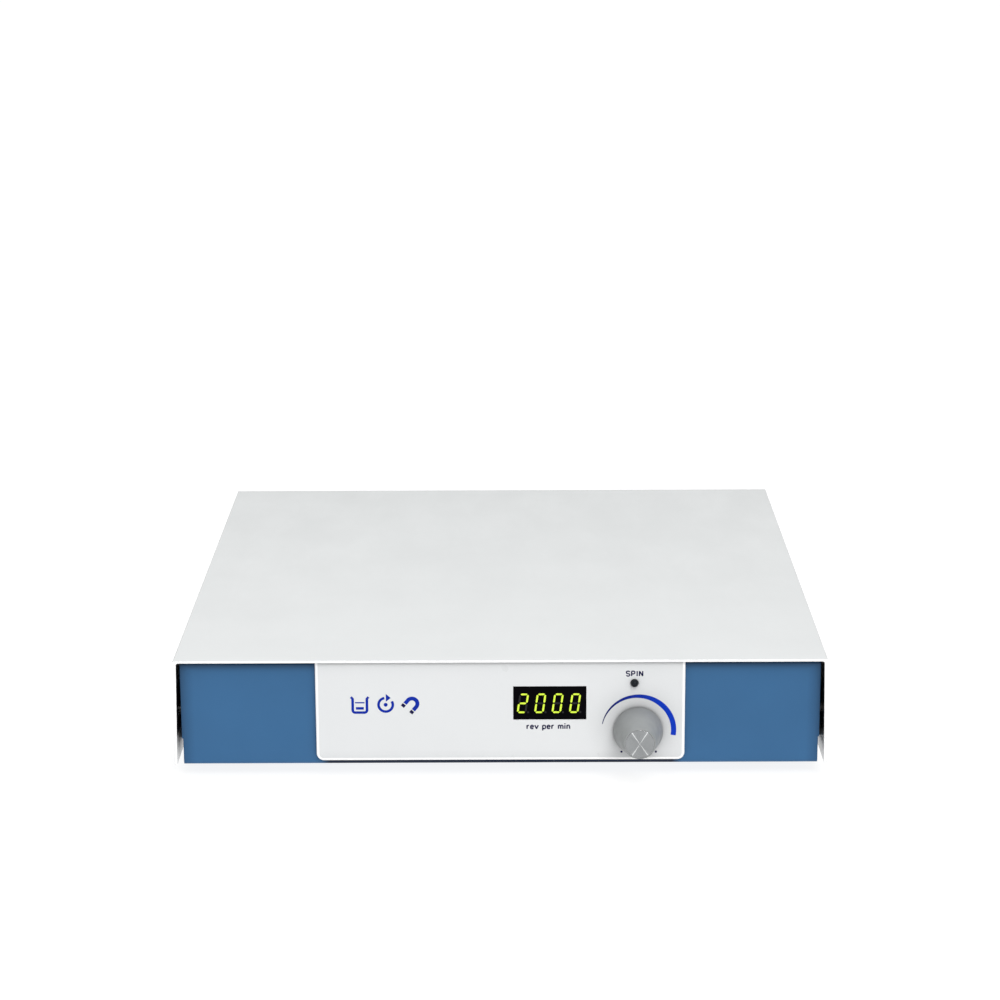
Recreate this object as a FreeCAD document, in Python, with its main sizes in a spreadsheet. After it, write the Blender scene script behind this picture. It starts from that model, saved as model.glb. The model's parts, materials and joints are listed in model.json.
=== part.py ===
"""Bench-top magnetic stirrer: a wide, flat case with a folded white top cover over a blue tray,
a front control panel with a four-digit display and one speed knob, a mains inlet and a rocker
switch at the rear, and a motor that spins a pair of magnets under the middle of the top.

Frame: +Z up, the front of the case faces -Y, and the origin is on the bench under the middle of
the whole footprint. Millimetres.

Places are written in the case's own frame: x and y from the middle of the case, z from the bench.
place() adds case_shift, the distance in y from the origin to the middle of the case.
"""

import FreeCAD, Part
import math
import os
from types import SimpleNamespace

import Sketcher

# ---------------------------------------------------------------- driving dimensions

DIMENSIONS = {
    "case": [
        ("cover_width", 264.0, "top cover across its skirts, just under the plate"),
        ("cover_brim", 0.35, "how far the plate stands out past each skirt"),
        ("cover_depth", 278.0, "top cover, front edge to rear edge"),
        ("case_height", 45.4, "underside of the tray to the upper face of the cover"),
        ("cover_sheet", 1.0, "thickness of the cover's sheet"),
        ("brim_edge", 0.3, "rounding along the plate's side edges"),
        ("cover_bend_inner", 0.8, "inner bend radius of the cover"),
        ("skirt_splay", 0.8, "how far each skirt stands out at the level of the tray's underside"),
        ("skirt_clear", 1.2, "lower edge of each skirt above the underside of the tray"),
        ("tray_width", 259.8, "tray across"),
        ("tray_depth", 272.0, "tray, front face to rear face"),
        ("tray_sheet", 1.2, "thickness of the tray's sheet"),
        ("tray_bend", 2.0, "outer bend radius of the tray"),
        ("tray_bend_inner", 0.8, "inner bend radius of the tray"),
        ("tray_flange", 9.0, "inward flange along the top of the front and rear walls"),
        ("relief_width", 0.5, "how much narrower the tray is near its floor, each side"),
        ("relief_height", 11.4, "height of the tray's narrower part"),
        ("seat_gap", 0.1, "clearance where one sheet rests on another"),
    ],
    "tabs": [
        ("tab_spacing", 180.0, "between the two screws on each side"),
        ("tab_width", 24.0, "each side tab along the case"),
        ("tab_height", 17.0, "each side tab, from the underside of the tray"),
        ("tab_root", 4.0, "how far a tab's foot reaches in over the floor"),
        ("tab_screw_height", 9.0, "cover screws above the underside of the tray"),
        ("screw_clearance", 1.75, "radius of a clearance hole for an M3 screw"),
    ],
    "feet": [
        ("foot_height", 4.6, "free height of a rubber foot"),
        ("foot_radius", 7.0, "foot at its upper face"),
        ("foot_taper", 1.0, "how much smaller the foot is at the bench"),
        ("foot_recess_radius", 3.4, "recess for the screw head"),
        ("foot_recess_depth", 2.6, "recess for the screw head"),
        ("foot_x", 105.0, "feet from the middle, across"),
        ("foot_y", 115.0, "feet from the middle, front to rear"),
    ],
    "panel": [
        ("panel_width", 150.0, "control panel across"),
        ("panel_thick", 2.0, "control panel, front to rear"),
        ("panel_rise", 2.35, "lower edge of the panel above the underside of the tray"),
        ("panel_corner", 3.0, "radius of the panel's lower corners"),
        ("panel_rim", 0.8, "rounding of the panel's front rim"),
        ("stud_x", 70.0, "panel studs from the middle"),
        ("stud_low", 13.5, "lower panel studs above the bench"),
        ("stud_high", 42.0, "upper panel studs above the bench"),
        ("stud_length", 5.2, "panel studs behind the panel"),
    ],
    "display": [
        ("display_x", 20.1, "display's middle from the middle of the panel"),
        ("display_z", 31.4, "display's middle above the bench"),
        ("display_width", 29.4, "four-digit module across"),
        ("display_tall", 14.0, "four-digit module, height"),
        ("display_deep", 7.25, "four-digit module, front to rear"),
        ("display_recess", 0.3, "module's face behind the panel's face"),
        ("display_gap", 0.15, "clearance round the module"),
        ("digit_height", 8.4, "each digit, height"),
        ("digit_width", 3.9, "digit across"),
        ("digit_pitch", 7.05, "from one digit to the next"),
        ("digit_stroke", 0.76, "width of one segment"),
        ("digit_gap", 0.19, "from a segment's point to the corner it points at"),
        ("digit_slant", 8.0, "lean of the digits in degrees"),
        ("digit_left", 0.35, "digits left of the module's middle"),
        ("digit_low", 0.2, "digits below the module's middle"),
        ("digit_depth", 0.4, "depth of the segment inserts"),
        ("dot_radius", 0.45, "decimal points"),
        ("board_thick", 1.6, "every circuit board"),
        ("led_x", 54.4, "status light from the middle"),
        ("led_z", 39.8, "status light above the bench"),
        ("led_radius", 1.5, "3 mm light"),
        ("led_hole", 1.7, "its hole in the panel"),
    ],
    "knob": [
        ("knob_x", 55.95, "speed control from the middle"),
        ("knob_z", 19.7, "speed control above the bench"),
        ("knob_radius", 10.1, "knob at its base"),
        ("knob_front_radius", 6.4, "knob at its front edge"),
        ("knob_length", 16.2, "knob along its axis"),
        ("knob_skirt", 1.2, "straight band at the knob's base"),
        ("knob_gap", 0.8, "knob's base in front of the panel"),
        ("knob_recess_radius", 7.4, "hollow under the knob, over the nut"),
        ("knob_recess_depth", 3.6, "hollow under the knob, over the nut"),
        ("cap_radius", 5.8, "metal disc let into the knob's front"),
        ("cap_thick", 0.6, "metal disc let into the knob's front"),
        ("cap_gap", 0.05, "clearance round the disc"),
        ("shaft_radius", 3.0, "6 mm control shaft"),
        ("shaft_clearance", 0.04, "running clearance round a shaft"),
        ("bushing_radius", 3.5, "threaded bushing of the control"),
        ("bushing_length", 6.7, "bushing from the control's body"),
        ("control_radius", 8.5, "body of the rotary control"),
        ("control_deep", 9.0, "body of the rotary control"),
    ],
    "motor": [
        ("motor_radius", 18.5, "motor can"),
        ("motor_wall", 1.5, "motor can's wall"),
        ("motor_low", 8.0, "lower rim of the can above the bench"),
        ("bracket_low", 28.2, "underside of the motor bracket above the bench"),
        ("bracket_thick", 1.5, "motor bracket"),
        ("bracket_size", 92.0, "motor bracket, each way"),
        ("bracket_corner", 8.0, "motor bracket's corner radius"),
        ("isolator_x", 36.0, "rubber isolators from the motor's axis, each way"),
        ("isolator_radius", 5.0, "rubber isolator"),
        ("isolator_neck", 3.6, "rubber isolator in the bracket's hole"),
        ("isolator_half", 2.2, "isolator below or above the bracket"),
        ("motor_shaft", 2.0, "radius of the motor's shaft"),
        ("bush_radius", 4.0, "motor bushes, outside"),
        ("boss_radius", 6.5, "boss round the upper bush"),
        ("boss_height", 2.0, "boss above the can"),
        ("hub_low", 31.5, "underside of the magnet hub above the bench"),
        ("hub_radius", 8.0, "magnet hub"),
        ("hub_height", 7.0, "magnet hub below its flange"),
        ("hub_flange", 24.0, "radius of the hub's flange"),
        ("disc_thick", 2.0, "hub flange and steel yoke, each"),
        ("yoke_radius", 26.0, "steel yoke"),
        ("carrier_radius", 27.0, "plastic magnet carrier"),
        ("magnet_radius", 9.0, "each drive magnet"),
        ("magnet_thick", 4.0, "each drive magnet"),
        ("magnet_offset", 15.5, "drive magnets from the axis"),
    ],
    "rear": [
        ("inlet_x", 88.0, "mains inlet from the middle"),
        ("inlet_z", 25.7, "mains inlet's middle above the bench"),
        ("inlet_flange_width", 50.0, "inlet flange across"),
        ("inlet_flange_tall", 34.0, "inlet flange, height"),
        ("inlet_flange_thick", 2.5, "inlet flange"),
        ("inlet_body_width", 27.4, "inlet body across"),
        ("inlet_body_tall", 30.0, "inlet body, height"),
        ("inlet_body_deep", 20.0, "inlet body behind the flange"),
        ("inlet_screw_x", 20.0, "inlet screws from its middle"),
        ("socket_width", 24.2, "opening for the mains connector"),
        ("socket_tall", 16.2, "opening for the mains connector"),
        ("socket_deep", 17.0, "opening for the mains connector"),
        ("socket_key", 4.0, "chamfer of the opening's two upper corners"),
        ("socket_rise", 5.2, "opening's middle above the inlet's middle"),
        ("pin_width", 2.0, "mains pin across"),
        ("pin_tall", 4.0, "mains pin, height"),
        ("pin_pitch", 7.0, "live and neutral pins from the earth pin, across"),
        ("pin_setback", 4.0, "pin tips behind the flange's face"),
        ("pin_tail", 7.5, "pins behind the inlet's body"),
        ("drawer_drop", 10.0, "fuse drawer's middle below the inlet's middle"),
        ("drawer_width", 23.2, "fuse drawer"),
        ("drawer_tall", 7.2, "fuse drawer"),
        ("drawer_deep", 18.0, "fuse drawer inside the inlet"),
        ("drawer_gap", 0.2, "clearance round the drawer"),
        ("drawer_lip", 1.5, "drawer's front lip, outside the flange"),
        ("fuse_radius", 2.5, "5 x 20 mm fuse"),
        ("fuse_length", 20.0, "5 x 20 mm fuse"),
        ("switch_x", 48.0, "rocker switch from the middle"),
        ("switch_z", 25.7, "rocker switch above the bench"),
        ("switch_width", 15.0, "switch bezel across"),
        ("switch_tall", 21.0, "switch bezel, height"),
        ("switch_bezel", 2.0, "switch bezel in front of the wall"),
        ("switch_body_deep", 14.0, "switch body behind the bezel's seat"),
        ("rocker_half_width", 5.4, "half the rocker's width"),
        ("rocker_half_tall", 8.2, "half the rocker's height at its face"),
        ("rocker_end", 5.2, "rocker's ends from the pivot"),
        ("rocker_dip", 3.9, "rocker's middle from the pivot"),
        ("rocker_throw", 8.0, "tilt to either side of level, in degrees"),
        ("pivot_depth", 2.0, "pivot inside the outer face of the rear wall"),
        ("pivot_radius", 1.0, "rocker's trunnions"),
    ],
    "boards": [
        ("board_x", 87.0, "middle of both floor boards, across"),
        ("board_width", 66.0, "floor boards across"),
        ("control_y", -66.0, "middle of the control board"),
        ("control_long", 84.0, "control board, front to rear"),
        ("power_y", 42.0, "middle of the power board"),
        ("power_long", 92.0, "power board, front to rear"),
        ("standoff_height", 6.0, "standoffs under the floor boards"),
        ("standoff_radius", 2.6, "standoffs"),
        ("standoff_inset", 4.5, "standoffs from a board's edges"),
        ("wire_radius", 1.1, "insulated mains wire"),
        ("signal_radius", 0.8, "insulated signal wire"),
    ],
}

LETTERS = "ABC"
NUT_HALF = 2.75          # half the width across flats of an M3 nut
NUT_THICK = 2.4          # M3 nut
SHANK_RADIUS = 1.45      # M3 screw in a tapped hole or nut
NUT_BORE = 1.5           # M3 nut's bore
PAN_RADIUS = 2.8         # M3 pan head
PAN_HEIGHT = 1.9         # M3 pan head
LOOSE = 0.05             # clearance between parts that are pressed or glued together
BOARD_SCREW = 5.0        # length of the screws that hold the boards
DISPLAY_PLUG = 6.0       # connector on the display board, front to rear
EARTH_NUT_TOP = 4.4      # end of the earth stud above the floor
GRUB_PLACE = -9.0        # grub screw along the knob, from its base
VENT_WIDTH = 3.0         # ventilation slots in the floor
VENT_LENGTH = 46.0
VENT_PITCH = 8.0
VENT_COUNT = 7


class Size:
    """A length with its number and the spreadsheet formula that it comes from."""

    def __init__(self, value, text):
        self.value = value
        self.text = text

    def __add__(self, other):
        return Size(self.value + number(other), f"({self.text} + {formula(other)})")

    def __sub__(self, other):
        return Size(self.value - number(other), f"({self.text} - {formula(other)})")

    def __mul__(self, other):
        return Size(self.value * number(other), f"({self.text} * {formula(other)})")

    def __truediv__(self, other):
        return Size(self.value / number(other), f"({self.text} / {formula(other)})")

    def __radd__(self, other):
        return Size(number(other) + self.value, f"({formula(other)} + {self.text})")

    def __rsub__(self, other):
        return Size(number(other) - self.value, f"({formula(other)} - {self.text})")

    def __rmul__(self, other):
        return Size(number(other) * self.value, f"({formula(other)} * {self.text})")

    def __neg__(self):
        return Size(-self.value, f"(0 - {self.text})")


def number(size):
    return size.value if isinstance(size, Size) else float(size)


def formula(size):
    return size.text if isinstance(size, Size) else f"({float(size)!r})"


# ---------------------------------------------------------------- document and sheet

doc = FreeCAD.newDocument("MagneticStirrer")
sheet = doc.addObject("Spreadsheet::Sheet", "dims")
d = SimpleNamespace()
row = 1
for section, entries in DIMENSIONS.items():
    sheet.set(f"{LETTERS[0]}{row}", section)
    row += 1
    for name, value, note in entries:
        sheet.set(f"{LETTERS[0]}{row}", name)
        sheet.set(f"{LETTERS[1]}{row}", str(value))
        sheet.set(f"{LETTERS[2]}{row}", note)
        sheet.setAlias(f"{LETTERS[1]}{row}", name)
        setattr(d, name, Size(value, f"dims.{name}"))
        row += 1
doc.recompute()

# Places that follow from the driving dimensions, in the case's own frame.
top_z = d.foot_height + d.case_height
under_cover = top_z - d.cover_sheet
tray_top = under_cover - d.seat_gap
floor_top = d.foot_height + d.tray_sheet
wall_front = -d.tray_depth / 2
wall_inside = wall_front + d.tray_sheet
panel_face = wall_front - d.panel_thick
panel_low = d.foot_height + d.panel_rise
wall_rear = d.tray_depth / 2
rear_inside = wall_rear - d.tray_sheet
knob_base = panel_face - d.knob_gap
bracket_top = d.bracket_low + d.bracket_thick
board_low = floor_top + d.standoff_height
board_top = board_low + d.board_thick
pivot_y = wall_rear - d.pivot_depth
# The knob's front and the heads of the inlet's screws are the foremost and rearmost faces.
inlet_face = wall_rear + d.inlet_flange_thick
rear_reach = inlet_face + PAN_HEIGHT
knob_reach = knob_base - d.knob_length
case_shift = -(rear_reach + knob_reach) / 2

nodes = []
hex_nuts = []            # every M3 nut of the case, gathered for one node
small_screws = []        # every screw that holds a circuit board
connectors = []          # every board connector


# ---------------------------------------------------------------- small helpers

def bind(target, prop, size):
    target.setExpression(prop, formula(size))


def place(target, x, y, z, axis="z", turn=0.0):
    """Puts target at a point of the case's frame, with its own +Z along axis, after a turn about it."""
    tilts = {
        "z": FreeCAD.Rotation(),
        "-z": FreeCAD.Rotation(FreeCAD.Vector(1, 0, 0), 180),
        "x": FreeCAD.Rotation(FreeCAD.Vector(0, 1, 0), 90),
        "-x": FreeCAD.Rotation(FreeCAD.Vector(0, 1, 0), -90),
        "y": FreeCAD.Rotation(FreeCAD.Vector(1, 0, 0), -90),
        "-y": FreeCAD.Rotation(FreeCAD.Vector(1, 0, 0), 90),
    }
    spin = FreeCAD.Rotation(FreeCAD.Vector(0, 0, 1), turn)
    target.Placement = FreeCAD.Placement(FreeCAD.Vector(), tilts[axis].multiply(spin))
    bind(target, "Placement.Base.x", x)
    bind(target, "Placement.Base.y", y + case_shift)
    bind(target, "Placement.Base.z", z)
    return target


def keep(target, label):
    """Makes target a node of the part."""
    target.Label = label
    nodes.append(target)
    return target


def block(x, y, z, width, depth, height):
    """A box centred on x and y, standing on z."""
    made = doc.addObject("Part::Box", "block")
    bind(made, "Length", width)
    bind(made, "Width", depth)
    bind(made, "Height", height)
    return place(made, x - width / 2, y - depth / 2, z)


def rod(x, y, z, radius, length, axis="z", angle=360, turn=0.0):
    """A cylinder from a point, along axis."""
    made = doc.addObject("Part::Cylinder", "rod")
    bind(made, "Radius", radius)
    bind(made, "Height", length)
    made.Angle = angle
    return place(made, x, y, z, axis, turn)


def taper(x, y, z, radius, far_radius, length, axis="z"):
    """A cone from a point, along axis."""
    made = doc.addObject("Part::Cone", "taper")
    bind(made, "Radius1", radius)
    bind(made, "Radius2", far_radius)
    bind(made, "Height", length)
    return place(made, x, y, z, axis)


def prism(x, y, z, half_flats, length, axis="z"):
    """A hexagonal bar from a point, along axis."""
    made = doc.addObject("Part::Prism", "prism")
    made.Polygon = 6
    bind(made, "Circumradius", half_flats / math.cos(math.pi / 6))
    bind(made, "Height", length)
    return place(made, x, y, z, axis)


def fuse(*shapes):
    made = doc.addObject("Part::MultiFuse", "fuse")
    made.Shapes = list(shapes)
    return made


def cut(base, *tools):
    made = doc.addObject("Part::Cut", "cut")
    made.Base = base
    made.Tool = tools[0] if len(tools) == 1 else fuse(*tools)
    return made


def group(*shapes):
    """Separate solids that share one node."""
    made = doc.addObject("Part::Compound", "group")
    made.Links = list(shapes)
    return made


def nut(x, y, z, axis="z"):
    return cut(
        prism(x, y, z, NUT_HALF, NUT_THICK, axis),
        rod(x, y, z, NUT_BORE, NUT_THICK, axis),
    )


def pan_screw(x, y, z, length, axis="z"):
    """A pan-head screw whose head stands on a point, with its shank along axis."""
    outward = {"z": "-z", "-z": "z", "x": "-x", "-x": "x", "y": "-y", "-y": "y"}[axis]
    head = taper(x, y, z, PAN_RADIUS, PAN_RADIUS * 0.8, PAN_HEIGHT, outward)
    sunk = {"z": (0, 0, -1), "-z": (0, 0, 1), "x": (-1, 0, 0), "-x": (1, 0, 0),
            "y": (0, -1, 0), "-y": (0, 1, 0)}[axis]
    depth = PAN_HEIGHT * 0.4
    drive = prism(x + sunk[0] * depth, y + sunk[1] * depth, z + sunk[2] * depth,
                  1.1, PAN_HEIGHT, outward)
    return fuse(cut(head, drive), rod(x, y, z, SHANK_RADIUS, length, axis))


def corners(x, y):
    """The four points at plus and minus x and y."""
    return [(sx * x, sy * y) for sx in (-1, 1) for sy in (-1, 1)]


# ---------------------------------------------------------------- PartDesign helpers

def new_body(label):
    body = doc.addObject("PartDesign::Body", label)
    return keep(body, label)


def sketch_on(body, role, offset=0.0):
    """A sketch on one of the body's origin planes, moved along the plane's normal."""
    sketch = body.newObject("Sketcher::SketchObject", body.Name + "_sketch")
    plane = [f for f in body.Origin.OriginFeatures if f.Role == role][0]
    sketch.AttachmentSupport = [(plane, "")]
    sketch.MapMode = "FlatFace"
    bind(sketch, "AttachmentOffset.Base.z", offset)
    return sketch


def pin_down(sketch, geometry, point, x, y):
    """Ties one point of a sketch to its two sizes."""
    for kind, size in (("DistanceX", x), ("DistanceY", y)):
        index = sketch.addConstraint(
            Sketcher.Constraint(kind, -1, 1, geometry, point, number(size)))
        sketch.setExpression(f"Constraints[{index}]", formula(size))


def outline(sketch, points):
    """A closed polygon, each corner tied to its sizes."""
    first = sketch.GeometryCount
    count = len(points)
    for i, (x, y) in enumerate(points):
        following = points[(i + 1) % count]
        sketch.addGeometry(Part.LineSegment(
            FreeCAD.Vector(number(x), number(y), 0),
            FreeCAD.Vector(number(following[0]), number(following[1]), 0)))
    for i in range(count):
        sketch.addConstraint(Sketcher.Constraint(
            "Coincident", first + i, 2, first + (i + 1) % count, 1))
    for i, (x, y) in enumerate(points):
        pin_down(sketch, first + i, 1, x, y)


def rectangle(sketch, x, y, width, height):
    """A rectangle centred on a point."""
    left, right = x - width / 2, x + width / 2
    low, high = y - height / 2, y + height / 2
    outline(sketch, [(left, low), (right, low), (right, high), (left, high)])


def circle(sketch, x, y, radius):
    index = sketch.addGeometry(Part.Circle(
        FreeCAD.Vector(number(x), number(y), 0), FreeCAD.Vector(0, 0, 1), number(radius)))
    pin_down(sketch, index, 3, x, y)
    tied = sketch.addConstraint(Sketcher.Constraint("Radius", index, number(radius)))
    sketch.setExpression(f"Constraints[{tied}]", formula(radius))


def feature(body, kind, sketch, length, symmetric=False, backwards=False):
    """A Pad or Pocket of one sketch. A Pocket that cuts nothing stops the script."""
    before = body.Shape.Volume if kind == "Pocket" else None
    made = body.newObject("PartDesign::" + kind, body.Name + "_" + kind.lower())
    made.Profile = sketch
    bind(made, "Length", length)
    made.SideType = "Symmetric" if symmetric else "One side"
    made.Reversed = backwards
    doc.recompute()
    if before is not None and made.Shape.Volume > before - 1e-6:
        raise RuntimeError(f"{made.Name} of {body.Label} cut nothing")
    return made


def revolve(body, sketch, axis="V_Axis"):
    made = body.newObject("PartDesign::Revolution", body.Name + "_turned")
    made.Profile = sketch
    made.ReferenceAxis = (sketch, [axis])
    made.Angle = 360
    doc.recompute()
    return made


def rounded(body, radius, wanted, kind="Fillet"):
    """Rounds or chamfers the edges that wanted() picks."""
    base = body.Tip
    names = [f"Edge{i + 1}" for i, edge in enumerate(base.Shape.Edges) if wanted(edge)]
    if not names:
        raise RuntimeError(f"{body.Label} has no edge to round")
    made = body.newObject("PartDesign::" + kind, body.Name + "_" + kind.lower())
    made.Base = (base, names)
    bind(made, "Radius" if kind == "Fillet" else "Size", radius)
    doc.recompute()
    return made


def runs_along(edge, direction):
    """True for a straight edge parallel to direction."""
    if not isinstance(edge.Curve, Part.Line):
        return False
    ends = edge.Vertexes[1].Point - edge.Vertexes[0].Point
    return abs(ends.normalize().dot(direction)) > 0.9999


def near(value, size, slack=0.02):
    return abs(value - number(size)) < slack


X_WAY, Y_WAY, Z_WAY = FreeCAD.Vector(1, 0, 0), FreeCAD.Vector(0, 1, 0), FreeCAD.Vector(0, 0, 1)


# ---------------------------------------------------------------- case

def make_top_cover():
    """White cover: a flat plate with a skirt down each side, splayed a little. The sheet is
    folded back on itself along each side, so the plate stands out a little past the skirts."""
    body = new_body("top_cover")
    profile = sketch_on(body, "XZ_Plane")
    edge = d.cover_width / 2
    brim = edge + d.cover_brim
    hem_z = d.foot_height + d.skirt_clear
    hem = edge + d.skirt_splay * (top_z - hem_z) / d.case_height
    inner = edge - d.cover_sheet + d.skirt_splay * d.cover_sheet / d.case_height
    outline(profile, [
        (-hem, hem_z), (-edge, under_cover), (-brim, under_cover), (-brim, top_z),
        (brim, top_z), (brim, under_cover), (edge, under_cover), (hem, hem_z),
        (hem - d.cover_sheet, hem_z), (inner, under_cover),
        (-inner, under_cover), (d.cover_sheet - hem, hem_z)])
    feature(body, "Pad", profile, d.cover_depth, symmetric=True)
    rounded(body, d.brim_edge, lambda e: runs_along(e, Y_WAY)
            and near(e.Vertexes[0].Z, top_z) and near(abs(e.Vertexes[0].X), brim))
    rounded(body, d.cover_bend_inner, lambda e: runs_along(e, Y_WAY)
            and near(e.Vertexes[0].Z, under_cover) and near(abs(e.Vertexes[0].X), inner))
    holes = sketch_on(body, "YZ_Plane")
    for side in (-1, 1):
        circle(holes, side * d.tab_spacing / 2, d.foot_height + d.tab_screw_height,
               d.screw_clearance)
    feature(body, "Pocket", holes, d.cover_width * 1.2, symmetric=True)
    return place(body, 0, 0, 0)


def tab_profile(sketch, side):
    """One side tab, an L from the floor up, whose outer face meets the skirt at its top."""
    drop = d.case_height - d.tab_height
    outer = (d.cover_width / 2 - d.cover_sheet - LOOSE
             + d.skirt_splay * drop / d.case_height)
    root = d.tray_width / 2 - d.tab_root
    points = [
        (root, d.foot_height), (outer, d.foot_height), (outer, d.foot_height + d.tab_height),
        (outer - d.tray_sheet, d.foot_height + d.tab_height),
        (outer - d.tray_sheet, floor_top), (root, floor_top)]
    outline(sketch, [(side * x, z) for x, z in points])


def make_base_tray():
    """Blue tray: front wall, floor and rear wall in one sheet, with flanges and side tabs."""
    body = new_body("base_tray")
    wall = d.tray_depth / 2
    lip, skin = wall - d.tray_flange, wall - d.tray_sheet
    under_lip = tray_top - d.tray_sheet
    profile = sketch_on(body, "YZ_Plane")
    outline(profile, [
        (-lip, tray_top), (-wall, tray_top), (-wall, d.foot_height), (wall, d.foot_height),
        (wall, tray_top), (lip, tray_top), (lip, under_lip), (skin, under_lip),
        (skin, floor_top), (-skin, floor_top), (-skin, under_lip), (-lip, under_lip)])
    feature(body, "Pad", profile, d.tray_width, symmetric=True)
    rounded(body, d.tray_bend, lambda e: runs_along(e, X_WAY) and near(abs(e.Vertexes[0].Y), wall))
    rounded(body, d.tray_bend_inner, lambda e: runs_along(e, X_WAY)
            and near(abs(e.Vertexes[0].Y), skin))
    relief = sketch_on(body, "XZ_Plane")
    for side in (-1, 1):
        rectangle(relief, side * d.tray_width / 2, d.foot_height + d.relief_height / 2,
                  2 * d.relief_width, d.relief_height)
    feature(body, "Pocket", relief, d.tray_depth * 1.2, symmetric=True)
    tabs = sketch_on(body, "XZ_Plane", (d.tab_spacing - d.tab_width) / 2)
    for side in (-1, 1):
        tab_profile(tabs, side)
    pad = feature(body, "Pad", tabs, d.tab_width)
    mirrored = body.newObject("PartDesign::Mirrored", "tabs_mirrored")
    mirrored.Originals = [pad]
    mirrored.MirrorPlane = (
        [f for f in body.Origin.OriginFeatures if f.Role == "XZ_Plane"][0], [""])
    body.Tip = mirrored
    doc.recompute()

    front = sketch_on(body, "XZ_Plane")
    rectangle(front, d.display_x, d.display_z,
              d.display_width + 4 * d.display_gap, d.display_tall + 4 * d.display_gap)
    circle(front, d.led_x, d.led_z, d.led_hole + 0.6)
    circle(front, d.knob_x, d.knob_z, d.bushing_radius + 0.2)
    for side in (-1, 1):
        for height in (d.stud_low, d.stud_high):
            circle(front, side * d.stud_x, height, d.screw_clearance)
    feature(body, "Pocket", front, wall + 1, backwards=True)

    rear = sketch_on(body, "XZ_Plane")
    rectangle(rear, d.inlet_x, d.inlet_z, d.inlet_body_width + 0.4, d.inlet_body_tall + 0.4)
    for side in (-1, 1):
        circle(rear, d.inlet_x + side * d.inlet_screw_x, d.inlet_z, d.screw_clearance)
    rectangle(rear, d.switch_x, d.switch_z, d.switch_width - 2, d.switch_tall - 2)
    feature(body, "Pocket", rear, wall + 1)

    tab_holes = sketch_on(body, "YZ_Plane")
    for side in (-1, 1):
        circle(tab_holes, side * d.tab_spacing / 2, d.foot_height + d.tab_screw_height,
               d.screw_clearance)
    feature(body, "Pocket", tab_holes, d.cover_width * 1.2, symmetric=True)

    under = sketch_on(body, "XY_Plane")
    for x, y in corners(d.foot_x, d.foot_y):
        circle(under, x, y, d.screw_clearance)
    feature(body, "Pocket", under, floor_top + 1, backwards=True)

    slot = sketch_on(body, "XY_Plane")
    rectangle(slot, d.board_x - 24, d.power_y, VENT_WIDTH, VENT_LENGTH)
    first = feature(body, "Pocket", slot, floor_top + 1, backwards=True)
    row_of = body.newObject("PartDesign::LinearPattern", "vents")
    row_of.Originals = [first]
    row_of.Direction = (slot, ["H_Axis"])
    row_of.Length = VENT_PITCH * (VENT_COUNT - 1)
    row_of.Occurrences = VENT_COUNT
    body.Tip = row_of
    doc.recompute()
    return place(body, 0, 0, 0)


def make_cover_fasteners():
    """Four screws through the skirts, into nuts on the side tabs."""
    height = d.foot_height + d.tab_screw_height
    fall = d.case_height - d.tab_screw_height
    skirt = d.cover_width / 2 + d.skirt_splay * fall / d.case_height
    tab_drop = d.case_height - d.tab_height
    tab_inside = (d.cover_width / 2 - d.cover_sheet - LOOSE - d.tray_sheet
                  + d.skirt_splay * tab_drop / d.case_height)
    screws, nuts = [], []
    for side, axis in ((-1, "x"), (1, "-x")):
        for y in (-d.tab_spacing / 2, d.tab_spacing / 2):
            screws.append(pan_screw(side * (skirt + 0.1), y, height, 8.0, axis))
            nuts.append(nut(side * tab_inside, y, height, axis))
    keep(group(*screws), "cover_screws")
    hex_nuts.extend(nuts)


def make_feet():
    """Four rubber feet, each held by a screw in its recess and a nut on the floor."""
    feet, screws, nuts = [], [], []
    shoulder = d.foot_height - d.foot_recess_depth
    for x, y in corners(d.foot_x, d.foot_y):
        cone = taper(x, y, 0, d.foot_radius - d.foot_taper, d.foot_radius, d.foot_height)
        feet.append(cut(cone, rod(x, y, 0, d.foot_recess_radius, d.foot_recess_depth),
                        rod(x, y, 0, d.screw_clearance, d.foot_height)))
        screws.append(pan_screw(x, y, d.foot_recess_depth, shoulder + 4.5))
        nuts.append(nut(x, y, floor_top))
    keep(group(*feet), "rubber_feet")
    keep(group(*screws), "foot_screws")
    hex_nuts.extend(nuts)


# ---------------------------------------------------------------- front panel and display

def make_control_panel():
    """White moulded panel on the front wall, with rounded lower corners and four studs."""
    body = new_body("control_panel")
    high = tray_top
    profile = sketch_on(body, "XZ_Plane", d.tray_depth / 2)
    rectangle(profile, 0, (panel_low + high) / 2, d.panel_width, high - panel_low)
    feature(body, "Pad", profile, d.panel_thick)
    rounded(body, d.panel_corner, lambda e: runs_along(e, Y_WAY)
            and near(e.Vertexes[0].Z, panel_low))
    rounded(body, d.panel_rim, lambda e: near(e.Vertexes[0].Y, panel_face)
            and near(e.Vertexes[-1].Y, panel_face)
            and not (near(e.Vertexes[0].Z, high) and near(e.Vertexes[-1].Z, high)))
    openings = sketch_on(body, "XZ_Plane")
    rectangle(openings, d.display_x, d.display_z,
              d.display_width + 2 * d.display_gap, d.display_tall + 2 * d.display_gap)
    circle(openings, d.led_x, d.led_z, d.led_hole)
    circle(openings, d.knob_x, d.knob_z, d.bushing_radius + 0.1)
    feature(body, "Pocket", openings, d.tray_depth, backwards=True)
    studs = sketch_on(body, "XZ_Plane", d.tray_depth / 2)
    for side in (-1, 1):
        for height in (d.stud_low, d.stud_high):
            circle(studs, side * d.stud_x, height, SHANK_RADIUS)
    feature(body, "Pad", studs, d.stud_length, backwards=True)
    place(body, 0, 0, 0)
    hex_nuts.extend(nut(side * d.stud_x, wall_inside, height, "y")
                    for side in (-1, 1) for height in (d.stud_low, d.stud_high))


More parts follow.
